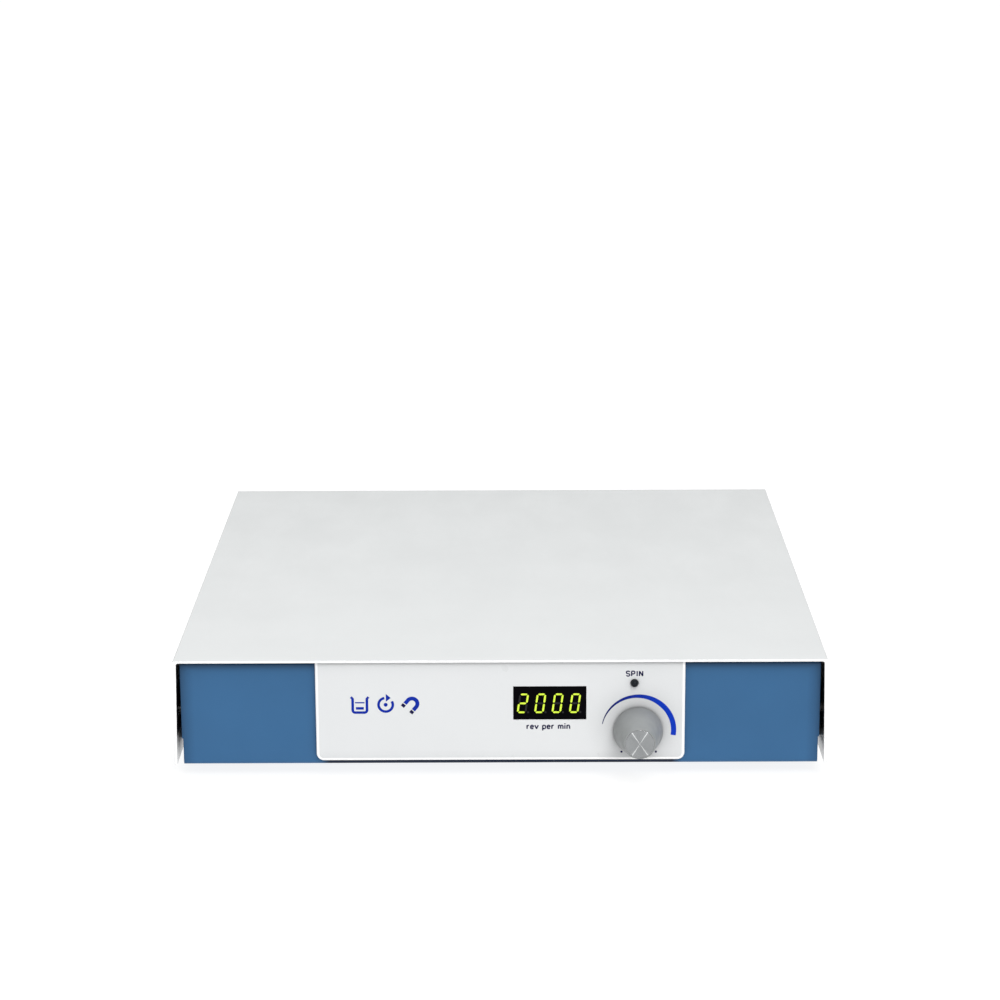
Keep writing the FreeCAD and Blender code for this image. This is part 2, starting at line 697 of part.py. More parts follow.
def segment_points(start, end):
    """The six corners of one display segment between two corners of its digit."""
    (x0, z0), (x1, z1) = start, end
    length = math.hypot(x1 - x0, z1 - z0)
    ux, uz = (x1 - x0) / length, (z1 - z0) / length
    half = d.digit_stroke.value / 2
    gap = d.digit_gap.value
    along = [(gap, 0), (gap + half, half), (length - gap - half, half), (length - gap, 0),
             (length - gap - half, -half), (gap + half, -half)]
    return [(x0 + ux * a - uz * b, z0 + uz * a + ux * b) for a, b in along]


def make_display():
    """Four-digit module with seven inserts and a point for each digit."""
    a = (d.digit_width.value - d.digit_stroke.value) / 2
    b = (d.digit_height.value - d.digit_stroke.value) / 2
    ends = {
        "top": ((-a, b), (a, b)), "middle": ((-a, 0), (a, 0)), "bottom": ((-a, -b), (a, -b)),
        "upper_left": ((-a, 0), (-a, b)), "upper_right": ((a, 0), (a, b)),
        "lower_left": ((-a, -b), (-a, 0)), "lower_right": ((a, -b), (a, 0))}
    two = {"top", "upper_right", "middle", "lower_left", "bottom"}
    nought = set(ends) - {"middle"}
    lean = math.tan(math.radians(d.digit_slant.value))
    face = number(panel_face + d.display_recess + case_shift)
    depth = FreeCAD.Vector(0, d.digit_depth.value, 0)
    lit, unlit = [], []
    row_x = d.display_x.value - d.digit_left.value
    row_z = d.display_z.value - d.digit_low.value
    for place_in_row, shown in enumerate((two, nought, nought, nought)):
        middle = row_x + (place_in_row - 1.5) * d.digit_pitch.value
        for name, (start, end) in ends.items():
            corners_of = [
                FreeCAD.Vector(middle + x + z * lean, face, row_z + z)
                for x, z in segment_points(start, end)]
            flat = Part.Face(Part.makePolygon(corners_of + corners_of[:1]))
            (lit if name in shown else unlit).append(flat.extrude(depth))
        dot = FreeCAD.Vector(middle + a + 1.1 - b * lean, face, row_z - b)
        unlit.append(Part.makeCylinder(
            d.dot_radius.value, d.digit_depth.value, dot, FreeCAD.Vector(0, 1, 0)))
    inserts = []
    for label, solids in (("lit_segments", lit), ("unlit_segments", unlit)):
        made = doc.addObject("Part::Feature", label)
        made.Shape = Part.makeCompound(solids)
        inserts.append(keep(made, label))
    module = block(d.display_x, panel_face + d.display_recess + d.display_deep / 2,
                   d.display_z - d.display_tall / 2,
                   d.display_width, d.display_deep, d.display_tall)
    doc.recompute()
    keep(cut(module, *inserts), "display_module")


def make_display_board():
    """L-shaped board behind the display, on four spacers, with the status light on its arm."""
    back = panel_face + d.display_recess + d.display_deep
    body = new_body("display_board")
    left, step, right = d.display_x - 21, d.display_x + 21, d.led_x + 10
    low, arm, high = d.display_z - 15, d.display_z, d.display_z + 13.5
    profile = sketch_on(body, "XZ_Plane")
    outline(profile, [(left, low), (step, low), (step, arm), (right, arm),
                      (right, high), (left, high)])
    feature(body, "Pad", profile, d.board_thick, backwards=True)
    inset = 3.0
    points = [(left + inset, low + inset), (step - inset, low + inset),
              (left + inset, high - inset), (right - inset, high - inset)]
    holes = sketch_on(body, "XZ_Plane")
    for x, z in points:
        circle(holes, x, z, SHANK_RADIUS + 0.1)
    feature(body, "Pocket", holes, d.board_thick + 1)
    place(body, 0, back, 0)
    spacers = []
    for x, z in points:
        spacers.append(cut(
            prism(x, wall_inside, z, 2.5, back - wall_inside, "y"),
            rod(x, wall_inside, z, NUT_BORE, back - wall_inside, "y")))
        small_screws.append(pan_screw(x, back + d.board_thick, z, BOARD_SCREW, "-y"))
    keep(group(*spacers), "display_spacers")
    connectors.append(block(d.display_x, back + d.board_thick + DISPLAY_PLUG / 2,
                            d.display_z - 12.5, 22, DISPLAY_PLUG, 5))

    tail = wall_inside + 1.4
    tip = panel_face - 0.5
    lens = fuse(
        rod(d.led_x, tip, d.led_z, d.led_radius, tail - tip, "y"),
        rod(d.led_x, tail - 1.0, d.led_z, d.led_radius + 0.4, 1.0, "y"),
        dome(d.led_x, tip, d.led_z, d.led_radius))
    leads = [rod(d.led_x + side * 1.27, tail, d.led_z, 0.25, back - tail, "y")
             for side in (-1, 1)]
    keep(fuse(lens, *leads), "status_light")


def dome(x, y, z, radius):
    """A ball whose front half rounds off a rod that faces the front."""
    made = doc.addObject("Part::Sphere", "dome")
    bind(made, "Radius", radius)
    return place(made, x, y, z)


# ---------------------------------------------------------------- speed knob and its control

def make_speed_control():
    """Tapered knob with a metal disc in its front, on the shaft of a rotary control."""
    body = new_body("speed_knob")
    profile = sketch_on(body, "XY_Plane")
    bore = d.shaft_radius + d.shaft_clearance
    front = -d.knob_length
    seat = front + d.cap_thick
    bore_end = seat + 2.0
    cap_edge = d.cap_radius + d.cap_gap
    outline(profile, [
        (d.knob_recess_radius, 0), (d.knob_radius, 0), (d.knob_radius, -d.knob_skirt),
        (d.knob_front_radius, front), (cap_edge, front), (cap_edge, seat), (0, seat),
        (0, bore_end), (bore, bore_end), (bore, -d.knob_recess_depth),
        (d.knob_recess_radius, -d.knob_recess_depth)])
    revolve(body, profile)
    rounded(body, 0.4, lambda e: isinstance(e.Curve, Part.Circle)
            and (near(e.Curve.Radius, d.knob_front_radius) or near(e.Curve.Radius, d.knob_radius)))
    grub_hole = sketch_on(body, "XY_Plane")
    circle(grub_hole, 0, GRUB_PLACE, NUT_BORE + LOOSE)
    feature(body, "Pocket", grub_hole, d.knob_radius)
    place(body, d.knob_x, knob_base, d.knob_z)

    disc = rod(d.knob_x, knob_reach, d.knob_z, d.cap_radius, d.cap_thick, "y")
    keep(disc, "knob_disc")
    shaft_end = knob_base + bore_end + 0.5
    shaft_back = wall_inside + d.control_deep - 2
    flat_depth = 0.8
    shaft = cut(
        rod(d.knob_x, shaft_end, d.knob_z, d.shaft_radius, shaft_back - shaft_end, "y"),
        block(d.knob_x, (shaft_end + knob_base) / 2 - 2,
              d.knob_z - d.shaft_radius - 1, 8, 10, 1 + flat_depth))
    keep(shaft, "control_shaft")
    grub = rod(d.knob_x, knob_base + GRUB_PLACE,
               d.knob_z - d.shaft_radius + flat_depth, NUT_BORE, 4.0, "-z")
    keep(grub, "knob_grub_screw")

    body_back = wall_inside + d.control_deep
    casing = fuse(
        rod(d.knob_x, wall_inside, d.knob_z, d.control_radius, d.control_deep, "y"),
        rod(d.knob_x, wall_inside - d.bushing_length, d.knob_z, d.bushing_radius,
            d.bushing_length, "y"))
    hollow = rod(d.knob_x, wall_inside - d.bushing_length, d.knob_z, bore,
                 d.bushing_length + d.control_deep - 1.5, "y")
    legs = [block(d.knob_x + i * 5, body_back - 1.0, d.knob_z - d.control_radius - 3.0,
                  1.3, 0.6, 3.2 + abs(i) * 1.7) for i in (-1, 0, 1)]
    keep(fuse(cut(casing, hollow), *legs), "rotary_control")
    washer = cut(rod(d.knob_x, panel_face, d.knob_z, 5.6, 0.5, "-y"),
                 rod(d.knob_x, panel_face, d.knob_z, d.bushing_radius + LOOSE, 0.5, "-y"))
    keep(washer, "control_washer")
    clamp_nut = cut(prism(d.knob_x, panel_face - 0.5, d.knob_z, 5.0, 2.0, "-y"),
                    rod(d.knob_x, panel_face - 0.5, d.knob_z,
                        d.bushing_radius + LOOSE, 2.0, "-y"))
    keep(clamp_nut, "control_nut")


# ---------------------------------------------------------------- motor and magnets

def make_motor_mount():
    """Bracket on four posts, carried by rubber isolators so that the motor doesn't buzz the case."""
    body = new_body("motor_bracket")
    plate = sketch_on(body, "XY_Plane")
    rectangle(plate, 0, 0, d.bracket_size, d.bracket_size)
    feature(body, "Pad", plate, d.bracket_thick)
    rounded(body, d.bracket_corner, lambda e: runs_along(e, Z_WAY))
    holes = sketch_on(body, "XY_Plane")
    circle(holes, 0, 0, d.boss_radius + 0.3)
    for x, y in corners(d.isolator_x, d.isolator_x):
        circle(holes, x, y, d.isolator_neck + 0.1)
    for x, y in motor_screw_points():
        circle(holes, x, y, d.screw_clearance)
    feature(body, "Pocket", holes, d.bracket_thick * 4, symmetric=True)
    place(body, 0, 0, d.bracket_low)

    posts, isolators, screws = [], [], []
    post_top = d.bracket_low - d.isolator_half
    isolator_top = bracket_top + d.isolator_half
    for x, y in corners(d.isolator_x, d.isolator_x):
        posts.append(cut(prism(x, y, floor_top, 4.0, post_top - floor_top),
                         rod(x, y, floor_top + 4, NUT_BORE, post_top - floor_top - 4)))
        spool = fuse(rod(x, y, post_top, d.isolator_radius, d.isolator_half),
                     rod(x, y, d.bracket_low - 0.5, d.isolator_neck, d.bracket_thick + 1),
                     rod(x, y, bracket_top, d.isolator_radius, d.isolator_half))
        isolators.append(cut(spool, rod(x, y, post_top, d.screw_clearance,
                                        isolator_top - post_top)))
        screws.append(pan_screw(x, y, isolator_top, 12.0, "-z"))
    keep(group(*posts), "motor_posts")
    keep(group(*isolators), "rubber_isolators")
    screws.extend(pan_screw(x, y, bracket_top, d.bracket_thick + 1.2, "-z")
                  for x, y in motor_screw_points())
    keep(group(*screws), "bracket_screws")


def motor_screw_points():
    reach = 12.0
    return corners(reach * math.cos(math.pi / 4), reach * math.sin(math.pi / 4))


def make_motor():
    """Small direct-current motor, shaft up, with two field magnets, an armature and brushes."""
    inner = d.motor_radius - d.motor_wall
    crown = d.bracket_low - d.motor_wall
    bush_hole = d.bush_radius + LOOSE
    can = fuse(
        cut(rod(0, 0, d.motor_low, d.motor_radius, d.bracket_low - d.motor_low),
            rod(0, 0, d.motor_low, inner, crown - d.motor_low)),
        rod(0, 0, crown, d.boss_radius, d.motor_wall + d.boss_height))
    screw_holes = [rod(x, y, crown, NUT_BORE, d.motor_wall) for x, y in motor_screw_points()]
    keep(cut(can, rod(0, 0, crown, bush_hole, d.motor_wall + d.boss_height), *screw_holes),
         "motor_can")

    cap_low = floor_top + 0.6
    cap_top = d.motor_low + 2.0
    cap = fuse(rod(0, 0, cap_low, d.motor_radius, d.motor_low - cap_low),
               rod(0, 0, d.motor_low, inner - LOOSE, cap_top - d.motor_low))
    ear = block(d.motor_radius + 1, 0, cap_low + 0.1, 6, 9, 2.6)
    inside = rod(0, 0, cap_low + 0.6, bush_hole, cap_top - cap_low)
    beside = cut(ear, rod(0, 0, d.motor_low, d.motor_radius + LOOSE, 4))
    keep(cut(fuse(cap, beside), inside), "motor_end_cap")
    bore = d.motor_shaft + d.shaft_clearance
    bushes = []
    for low, high in ((cap_low + 0.6, cap_top), (crown, d.bracket_low + d.boss_height)):
        bushes.append(cut(rod(0, 0, low, d.bush_radius, high - low),
                          rod(0, 0, low, bore, high - low)))
    keep(group(*bushes), "motor_bushes")

    magnet_inner = inner - 3.0
    arcs = []
    for turn in (15.0, 195.0):
        arcs.append(cut(rod(0, 0, cap_top + 4, inner - LOOSE, 12, angle=150, turn=turn),
                        rod(0, 0, cap_top + 4, magnet_inner, 12)))
    keep(group(*arcs), "field_magnets")
    brushes = [block(side * 8.0, 0, cap_top, 6.0, 2.6, 2.6) for side in (-1, 1)]
    keep(group(*brushes), "motor_brushes")

    core_low, core_tall = cap_top + 5, 10.0
    core_radius = magnet_inner - 0.7
    slots = [rod(0, 0, core_low, core_radius, core_tall, angle=10, turn=72.0 * i)
             for i in range(5)]
    waist = rod(0, 0, core_low, 5.0, core_tall)
    core = cut(rod(0, 0, core_low, core_radius, core_tall), cut(fuse(*slots), waist),
               rod(0, 0, core_low, d.motor_shaft + LOOSE, core_tall))
    turns = []
    for low, tall in ((core_low - 1.6, 1.5), (core_low + core_tall + 0.1, 1.3)):
        turns.append(cut(rod(0, 0, low, core_radius - 1.2, tall), rod(0, 0, low, 5.0, tall)))
    keep(group(core, *turns), "armature")
    commutator = cut(rod(0, 0, cap_top + 0.3, 4.5, 3.0),
                     rod(0, 0, cap_top + 0.3, d.motor_shaft + LOOSE, 3.0))
    keep(commutator, "commutator")
    shaft_low = cap_low + 0.8
    keep(rod(0, 0, shaft_low, d.motor_shaft, d.hub_low + d.hub_height - shaft_low),
         "motor_shaft")


def make_magnet_drive():
    """Hub on the motor's shaft, steel yoke, plastic carrier and two drive magnets under the top."""
    flange_low = d.hub_low + d.hub_height
    yoke_low = flange_low + d.disc_thick
    magnet_low = yoke_low + d.disc_thick
    grub_z = d.hub_low + d.hub_height / 2
    hub = cut(fuse(rod(0, 0, d.hub_low, d.hub_radius, d.hub_height),
                   rod(0, 0, flange_low, d.hub_flange, d.disc_thick)),
              rod(0, 0, d.hub_low, d.motor_shaft + LOOSE, d.hub_height),
              rod(0, 0, grub_z, NUT_BORE + LOOSE, d.hub_radius + 1, "x"))
    keep(hub, "magnet_hub")
    keep(rod(d.motor_shaft + 0.1, 0, grub_z, NUT_BORE, 5.0, "x"), "hub_grub_screw")
    keep(rod(0, 0, yoke_low, d.yoke_radius, d.disc_thick), "steel_yoke")
    pockets = [rod(side * d.magnet_offset, 0, magnet_low, d.magnet_radius + LOOSE,
                   d.magnet_thick) for side in (-1, 1)]
    keep(cut(rod(0, 0, magnet_low, d.carrier_radius, d.magnet_thick), *pockets),
         "magnet_carrier")
    magnets = [rod(side * d.magnet_offset, 0, magnet_low, d.magnet_radius, d.magnet_thick)
               for side in (-1, 1)]
    keep(group(*magnets), "drive_magnets")


def make_speed_sensor():
    """Small board on the bracket whose sensor reads the hub as it turns."""
    y = -20.0
    board_z = bracket_top + 3.0
    spacers = [rod(side * 6, y, bracket_top, 1.6, 3.0) for side in (-1, 1)]
    board = block(0, y, board_z, 18, 9, d.board_thick)
    chip = block(0, y, board_z + d.board_thick, 4.2, 3.2, 1.5)
    keep(fuse(board, chip, *spacers), "speed_sensor")


# ---------------------------------------------------------------- mains inlet and switch

def make_inlet():
    """Mains inlet with a keyed socket, three pins, and a fuse drawer below the socket."""
    face = inlet_face
    back = wall_rear - d.inlet_body_deep
    body = new_body("mains_inlet")
    flange = sketch_on(body, "XZ_Plane", -wall_rear)
    rectangle(flange, 0, d.inlet_z, d.inlet_flange_width, d.inlet_flange_tall)
    feature(body, "Pad", flange, d.inlet_flange_thick, backwards=True)
    rounded(body, 4.0, lambda e: runs_along(e, Y_WAY))
    core = sketch_on(body, "XZ_Plane", -wall_rear)
    rectangle(core, 0, d.inlet_z, d.inlet_body_width, d.inlet_body_tall)
    feature(body, "Pad", core, d.inlet_body_deep)
    socket_z = d.inlet_z + d.socket_rise
    half, high, low = d.socket_width / 2, socket_z + d.socket_tall / 2, socket_z - d.socket_tall / 2
    socket = sketch_on(body, "XZ_Plane", -face)
    outline(socket, [
        (-half, low), (half, low), (half, high - d.socket_key), (half - d.socket_key, high),
        (d.socket_key - half, high), (-half, high - d.socket_key)])
    feature(body, "Pocket", socket, d.socket_deep, backwards=True)
    drawer_z = d.inlet_z - d.drawer_drop
    well = sketch_on(body, "XZ_Plane", -face)
    rectangle(well, 0, drawer_z, d.drawer_width + 2 * d.drawer_gap,
              d.drawer_tall + 2 * d.drawer_gap)
    feature(body, "Pocket", well, d.inlet_flange_thick + d.drawer_deep, backwards=True)
    pins = [(-d.pin_pitch, socket_z - d.pin_tall / 2), (0, socket_z + d.pin_tall / 2),
            (d.pin_pitch, socket_z - d.pin_tall / 2)]
    slots = sketch_on(body, "XZ_Plane", -face)
    for x, z in pins:
        rectangle(slots, x, z, d.pin_width, d.pin_tall)
    for side in (-1, 1):
        circle(slots, side * d.inlet_screw_x, d.inlet_z, d.screw_clearance)
    feature(body, "Pocket", slots, d.inlet_flange_thick + d.inlet_body_deep + 1, backwards=True)
    place(body, d.inlet_x, 0, 0)

    tip, tail = face - d.pin_setback, back - d.pin_tail
    blades = [block(d.inlet_x + x, (tip + tail) / 2, z - d.pin_tall / 2,
                    d.pin_width, tip - tail, d.pin_tall) for x, z in pins]
    keep(group(*blades), "inlet_pins")
    screws, nuts = [], []
    for side in (-1, 1):
        x = d.inlet_x + side * d.inlet_screw_x
        screws.append(pan_screw(x, face, d.inlet_z, 8.0, "-y"))
        nuts.append(nut(x, rear_inside, d.inlet_z, "-y"))
    keep(group(*screws), "inlet_screws")
    hex_nuts.extend(nuts)

    drawer_low = drawer_z - d.drawer_tall / 2
    deep = d.drawer_deep - 1.0
    tray = block(d.inlet_x, wall_rear - deep / 2 + d.inlet_flange_thick / 2, drawer_low,
                 d.drawer_width, deep + d.inlet_flange_thick, d.drawer_tall)
    lip = block(d.inlet_x, face + d.drawer_lip / 2, drawer_low - 0.4,
                d.drawer_width + 1.6, d.drawer_lip, d.drawer_tall + 0.8)
    fuse_y = wall_rear - 9.0
    nest = block(d.inlet_x, fuse_y, drawer_low + 1.0, d.fuse_length + 0.6, 5.8, d.drawer_tall)
    notch = block(d.inlet_x, face + d.drawer_lip, drawer_low - 0.4, 8.0, 1.6, 1.6)
    keep(cut(fuse(tray, lip), nest, notch), "fuse_drawer")
    fuse_z = drawer_low + 1.0 + d.fuse_radius + LOOSE
    ferrule = 5.0
    start = d.inlet_x - d.fuse_length / 2
    glass = rod(start + ferrule, fuse_y, fuse_z, d.fuse_radius - 0.2,
                d.fuse_length - 2 * ferrule, "x")
    ends = [rod(x, fuse_y, fuse_z, d.fuse_radius, ferrule, "x")
            for x in (start, start + d.fuse_length - ferrule)]
    keep(fuse(glass, *ends), "glass_fuse")


def make_power_switch():
    """Rocker switch in the rear wall. The rocker rests with its upper end pressed in, which is on."""
    opening_x = d.rocker_half_width * 2 + 0.8
    opening_z = d.rocker_half_tall * 2 + 1.8
    outside = wall_rear + d.switch_bezel
    bezel = block(d.switch_x, wall_rear + d.switch_bezel / 2, d.switch_z - d.switch_tall / 2,
                  d.switch_width, d.switch_bezel, d.switch_tall)
    core = block(d.switch_x, wall_rear - d.switch_body_deep / 2,
                 d.switch_z - d.switch_tall / 2 + 1.1,
                 d.switch_width - 2.2, d.switch_body_deep, d.switch_tall - 2.2)
    well_floor = pivot_y - 3.4
    well = block(d.switch_x, (outside + well_floor) / 2, d.switch_z - opening_z / 2,
                 opening_x, outside - well_floor, opening_z)
    trunnion_half = d.rocker_half_width + 0.75
    bearing = rod(d.switch_x - trunnion_half - 0.1, pivot_y, d.switch_z,
                  d.pivot_radius + d.shaft_clearance, 2 * trunnion_half + 0.2, "x")
    keep(cut(fuse(bezel, core), well, bearing), "switch_body")

    body = new_body("switch_rocker")
    profile = sketch_on(body, "YZ_Plane")
    outline(profile, [
        (-1.0, -6.6), (d.rocker_end, -d.rocker_half_tall), (d.rocker_dip, 0),
        (d.rocker_end, d.rocker_half_tall), (-1.0, 6.6)])
    feature(body, "Pad", profile, d.rocker_half_width * 2, symmetric=True)
    rounded(body, 0.5, lambda e: runs_along(e, X_WAY) and near(e.Vertexes[0].Y, d.rocker_end))
    pins = sketch_on(body, "YZ_Plane")
    circle(pins, 0, 0, d.pivot_radius)
    feature(body, "Pad", pins, trunnion_half * 2, symmetric=True)
    body.Placement = FreeCAD.Placement(
        FreeCAD.Vector(), FreeCAD.Rotation(FreeCAD.Vector(1, 0, 0), d.rocker_throw.value))
    bind(body, "Placement.Base.x", d.switch_x)
    bind(body, "Placement.Base.y", pivot_y + case_shift)
    bind(body, "Placement.Base.z", d.switch_z)

    back = wall_rear - d.switch_body_deep
    tabs = [block(d.switch_x, back - 3.5, d.switch_z + z, 4.8, 7.0, 0.8) for z in (-5.4, 4.6)]
    keep(group(*tabs), "switch_terminals")


# ---------------------------------------------------------------- circuit boards

def make_floor_boards():
    """Control board in front and power board behind it, on standoffs beside the motor."""
    standoffs = []
    for label, y, long in (("control_board", d.control_y, d.control_long),
                           ("power_board", d.power_y, d.power_long)):
        dx = d.board_width / 2 - d.standoff_inset
        dy = long / 2 - d.standoff_inset
        holes = []
        for sx, sy in ((-1, -1), (-1, 1), (1, -1), (1, 1)):
            px, py = d.board_x + sx * dx, y + sy * dy
            holes.append(rod(px, py, board_low, SHANK_RADIUS + 0.1, d.board_thick))
            standoffs.append(cut(prism(px, py, floor_top, d.standoff_radius, d.standoff_height),
                                 rod(px, py, floor_top + 1, NUT_BORE, d.standoff_height - 1)))
            small_screws.append(pan_screw(px, py, board_top, BOARD_SCREW, "-z"))
        keep(cut(block(d.board_x, y, board_low, d.board_width, long, d.board_thick), *holes),
             label)
    keep(group(*standoffs), "board_standoffs")

    x, y = d.board_x, d.control_y
    chips = [block(x - 6, y, board_top, 12, 12, 1.6), block(x + 14, y - 18, board_top, 6, 10, 1.8),
             block(x + 14, y + 2, board_top, 6, 5, 1.8), block(x - 16, y + 20, board_top, 10, 6, 2)]
    keep(group(*chips), "control_chips")
    cans = [rod(x + 18, y + 24, board_top, 5.0, 12.5), rod(x + 6, y + 27, board_top, 4.0, 11.5),
            rod(x - 22, y - 4, board_top, 3.2, 11.0)]
    connectors.extend([
        block(x - 24, y - 26, board_top, 8, 18, 7), block(x - 12, y - 36, board_top, 14, 6, 7),
        block(x - 26, y + 16, board_top, 6, 10, 7), block(x - 26, y + 29, board_top, 6, 10, 7),
        block(x + 19, y + 37, board_top, 10, 6, 7)])

    y = d.power_y
    bobbin = block(x - 8, y - 4, board_top, 20, 24, 15)
    core = cut(block(x - 8, y - 4, board_top + 2.5, 26, 16, 18),
               block(x - 8, y - 4, board_top, 20 + 2 * LOOSE, 24 + 2 * LOOSE, 15 + LOOSE))
    keep(group(bobbin, core), "power_transformer")
    bulk = [rod(x + 18, y - 12, board_top, 8.0, 25.0), rod(x - 20, y - 34, board_top, 5.0, 16.0),
            rod(x - 6, y - 34, board_top, 5.0, 16.0)]
    film = [block(x + 14, y + 16, board_top, 12, 18, 14), block(x - 18, y + 22, board_top, 10, 6, 9)]
    keep(group(*bulk, *cans, *film), "capacitors")
    connectors.extend([block(x + 2, y + 37, board_top, 20, 8, 8),
                       block(x + 19, y - 38, board_top, 10, 6, 7)])
    fins = [block(x + 6 + i * 4, y - 40, board_top + 3, 1.2, 9, 20) for i in range(-1, 2)]
    keep(fuse(block(x + 6, y - 34.5, board_top + 1.0, 14, 2, 22), *fins), "heat_sink")


# ---------------------------------------------------------------- wiring

def wire_solid(points, radius, widest):
    """A round wire of straight runs joined by arcs that start no farther than widest from a bend."""
    spots = [FreeCAD.Vector(number(x), number(y + case_shift), number(z)) for x, y, z in points]
    edges, start = [], spots[0]
    for before, here, after in zip(spots, spots[1:], spots[2:]):
        back, on = (before - here), (after - here)
        run = min(back.Length, on.Length)
        back.normalize()
        on.normalize()
        reach = min(0.45 * run, widest)
        first, last = here + back * reach, here + on * reach
        turned = math.pi - back.getAngle(on)
        bend = reach / math.tan(turned / 2)
        inward = (back + on).normalize()
        middle = here + inward * (bend / math.cos(turned / 2) - bend)
        edges.append(Part.LineSegment(start, first).toShape())
        edges.append(Part.Arc(first, middle, last).toShape())
        start = last
    edges.append(Part.LineSegment(start, spots[-1]).toShape())
    path = Part.Wire(edges)
    heading = (spots[1] - spots[0]).normalize()
    ring = Part.Wire([Part.Circle(spots[0], heading, radius).toShape()])
    solid = path.makePipeShell([ring], True, False)
    wanted = math.pi * radius ** 2 * path.Length
    if abs(solid.Volume - wanted) > 0.01 * wanted:
        raise RuntimeError("a wire's volume is wrong")
    return solid


def add_wires(label, routes, radius):
    """One node from several routes, each a list of points and the widest reach of its bends."""
    made = doc.addObject("Part::Feature", label)
    made.Shape = Part.makeCompound(
        [wire_solid(points, number(radius), widest) for points, widest in routes])
    return keep(made, label)


def make_mains_wiring():
    """Live wire through the switch, neutral wire, and the earth wire to its stud on the floor."""
    pin_back = wall_rear - d.inlet_body_deep - d.pin_tail
    tab_back = wall_rear - d.switch_body_deep - 7.0
    socket_z = d.inlet_z + d.socket_rise
    live_z = socket_z - d.pin_tall / 2
    earth_z = socket_z + d.pin_tall / 2
    x, y = d.board_x, d.power_y
    entry_y, entry_z = y + 41, board_top + 5
    upper, lower = d.switch_z + 5.0, d.switch_z - 5.0
    live = [
        (d.inlet_x - d.pin_pitch, pin_back, live_z),
        (d.inlet_x - d.pin_pitch, pin_back - 8, live_z),
        (d.switch_x + 20, pin_back - 14, upper + 3),
        (d.switch_x + 6, pin_back - 12, upper + 2),
        (d.switch_x, tab_back - 8, upper),
        (d.switch_x, tab_back, upper)]
    switched = [
        (d.switch_x, tab_back, lower),
        (d.switch_x, tab_back - 9, lower),
        (d.switch_x + 12, entry_y + 14, lower - 1),
        (x - 4, entry_y + 9, entry_z),
        (x - 4, entry_y, entry_z)]
    neutral = [
        (d.inlet_x + d.pin_pitch, pin_back, live_z),
        (d.inlet_x + d.pin_pitch, pin_back - 7, live_z),
        (x + 5, entry_y + 10, entry_z),
        (x + 5, entry_y, entry_z)]
    add_wires("mains_wires", [(live, 9.0), (switched, 9.0), (neutral, 9.0)], d.wire_radius)
    stud_x, stud_y = d.inlet_x + 30, wall_rear - 34.0
    earth = [
        (d.inlet_x, pin_back, earth_z),
        (d.inlet_x, pin_back - 7, earth_z),
        (d.inlet_x + 15, pin_back - 10, earth_z - 1),
        (stud_x, stud_y + 6, earth_z - 8),
        (stud_x, stud_y, floor_top + 12),
        (stud_x, stud_y, floor_top + EARTH_NUT_TOP)]
    add_wires("earth_wire", [(earth, 9.0)], d.wire_radius)
    lug = cut(rod(stud_x, stud_y, floor_top, 4.0, 1.0), rod(stud_x, stud_y, floor_top, NUT_BORE, 1.0))
    keep(group(rod(stud_x, stud_y, floor_top, SHANK_RADIUS, EARTH_NUT_TOP), lug), "earth_stud")
    hex_nuts.append(nut(stud_x, stud_y, floor_top + 1.0))


def make_signal_wiring():
    """Motor, speed-sensor and supply wires to the control board, and those of the front panel."""
    x, y = d.board_x, d.control_y
    left, wire_z = x - 29, board_top + 4
    ear_end, ear_z = d.motor_radius + 4, floor_top + 2.0
    sensor_y, sensor_z = -24.5, bracket_top + 3.8
    routes = []
    for step in (-2.0, 2.0):
        motor_y, aside = y + 29 + step, step * 0.75
        routes.append(([
            (ear_end, step, ear_z),
            (ear_end + 9 + aside, step, ear_z),
            (left - 13 + aside, motor_y, wire_z),
            (left, motor_y, wire_z)], 5.0))
        routes.append(([
            (x + 19 + step, d.power_y - 41, wire_z),
            (x + 19 + step, y + 40, wire_z)], 5.0))
    for step in (-2.0, 0.0, 2.0):
        turn_y = y + 16 + step
        routes.append(([
            (step, sensor_y, sensor_z),
            (step, turn_y, sensor_z),
            (left - 12, turn_y, wire_z),
            (left, turn_y, wire_z)], 6.0 - step))
    add_wires("signal_wires", routes, d.signal_radius)

    routes = []
    plug_back = panel_face + d.display_recess + d.display_deep + d.board_thick + DISPLAY_PLUG
    plug_z = d.display_z - 10.0
    for i in range(-3, 4):
        step = i * 2.2
        routes.append(([
            (d.display_x + step, plug_back, plug_z),
            (d.display_x + step, y - 26 - step, plug_z),
            (left - 8, y - 26 - step, wire_z - 1),
            (left + 1, y - 26 - step, wire_z - 1)], 10.0 - step))
    leg_y = wall_inside + d.control_deep - 0.7
    leg_z = d.knob_z - d.control_radius - 2.0
    for i in (-1, 0, 1):
        leg_x, turn_y, end_x = d.knob_x + i * 5.0, y - 50 - i * 2.5, x - 12 + i * 4.0
        routes.append(([
            (leg_x, leg_y, leg_z),
            (leg_x, turn_y, leg_z),
            (end_x, turn_y, wire_z - 1),
            (end_x, y - 39, wire_z - 1)], 4.0))
    add_wires("front_panel_wires", routes, d.signal_radius)


# ---------------------------------------------------------------- build and write

make_top_cover()
make_base_tray()
make_cover_fasteners()
make_feet()
make_control_panel()
make_display()
make_display_board()
make_speed_control()
make_motor_mount()
make_motor()
make_magnet_drive()
make_speed_sensor()
make_inlet()
make_power_switch()
make_floor_boards()
make_mains_wiring()
make_signal_wiring()
keep(group(*hex_nuts), "hex_nuts")
keep(group(*small_screws), "board_screws")
keep(group(*connectors), "board_connectors")
doc.recompute()

for thing in doc.Objects:
    if any(state in ("Invalid", "Error") for state in thing.State):
        raise RuntimeError(f"{thing.Name} ({thing.Label}) failed: {thing.State}")
for node in nodes:
    if node.Shape.isNull() or not node.Shape.isValid() or not node.Shape.Solids:
        raise RuntimeError(f"{node.Label} has no valid solid")

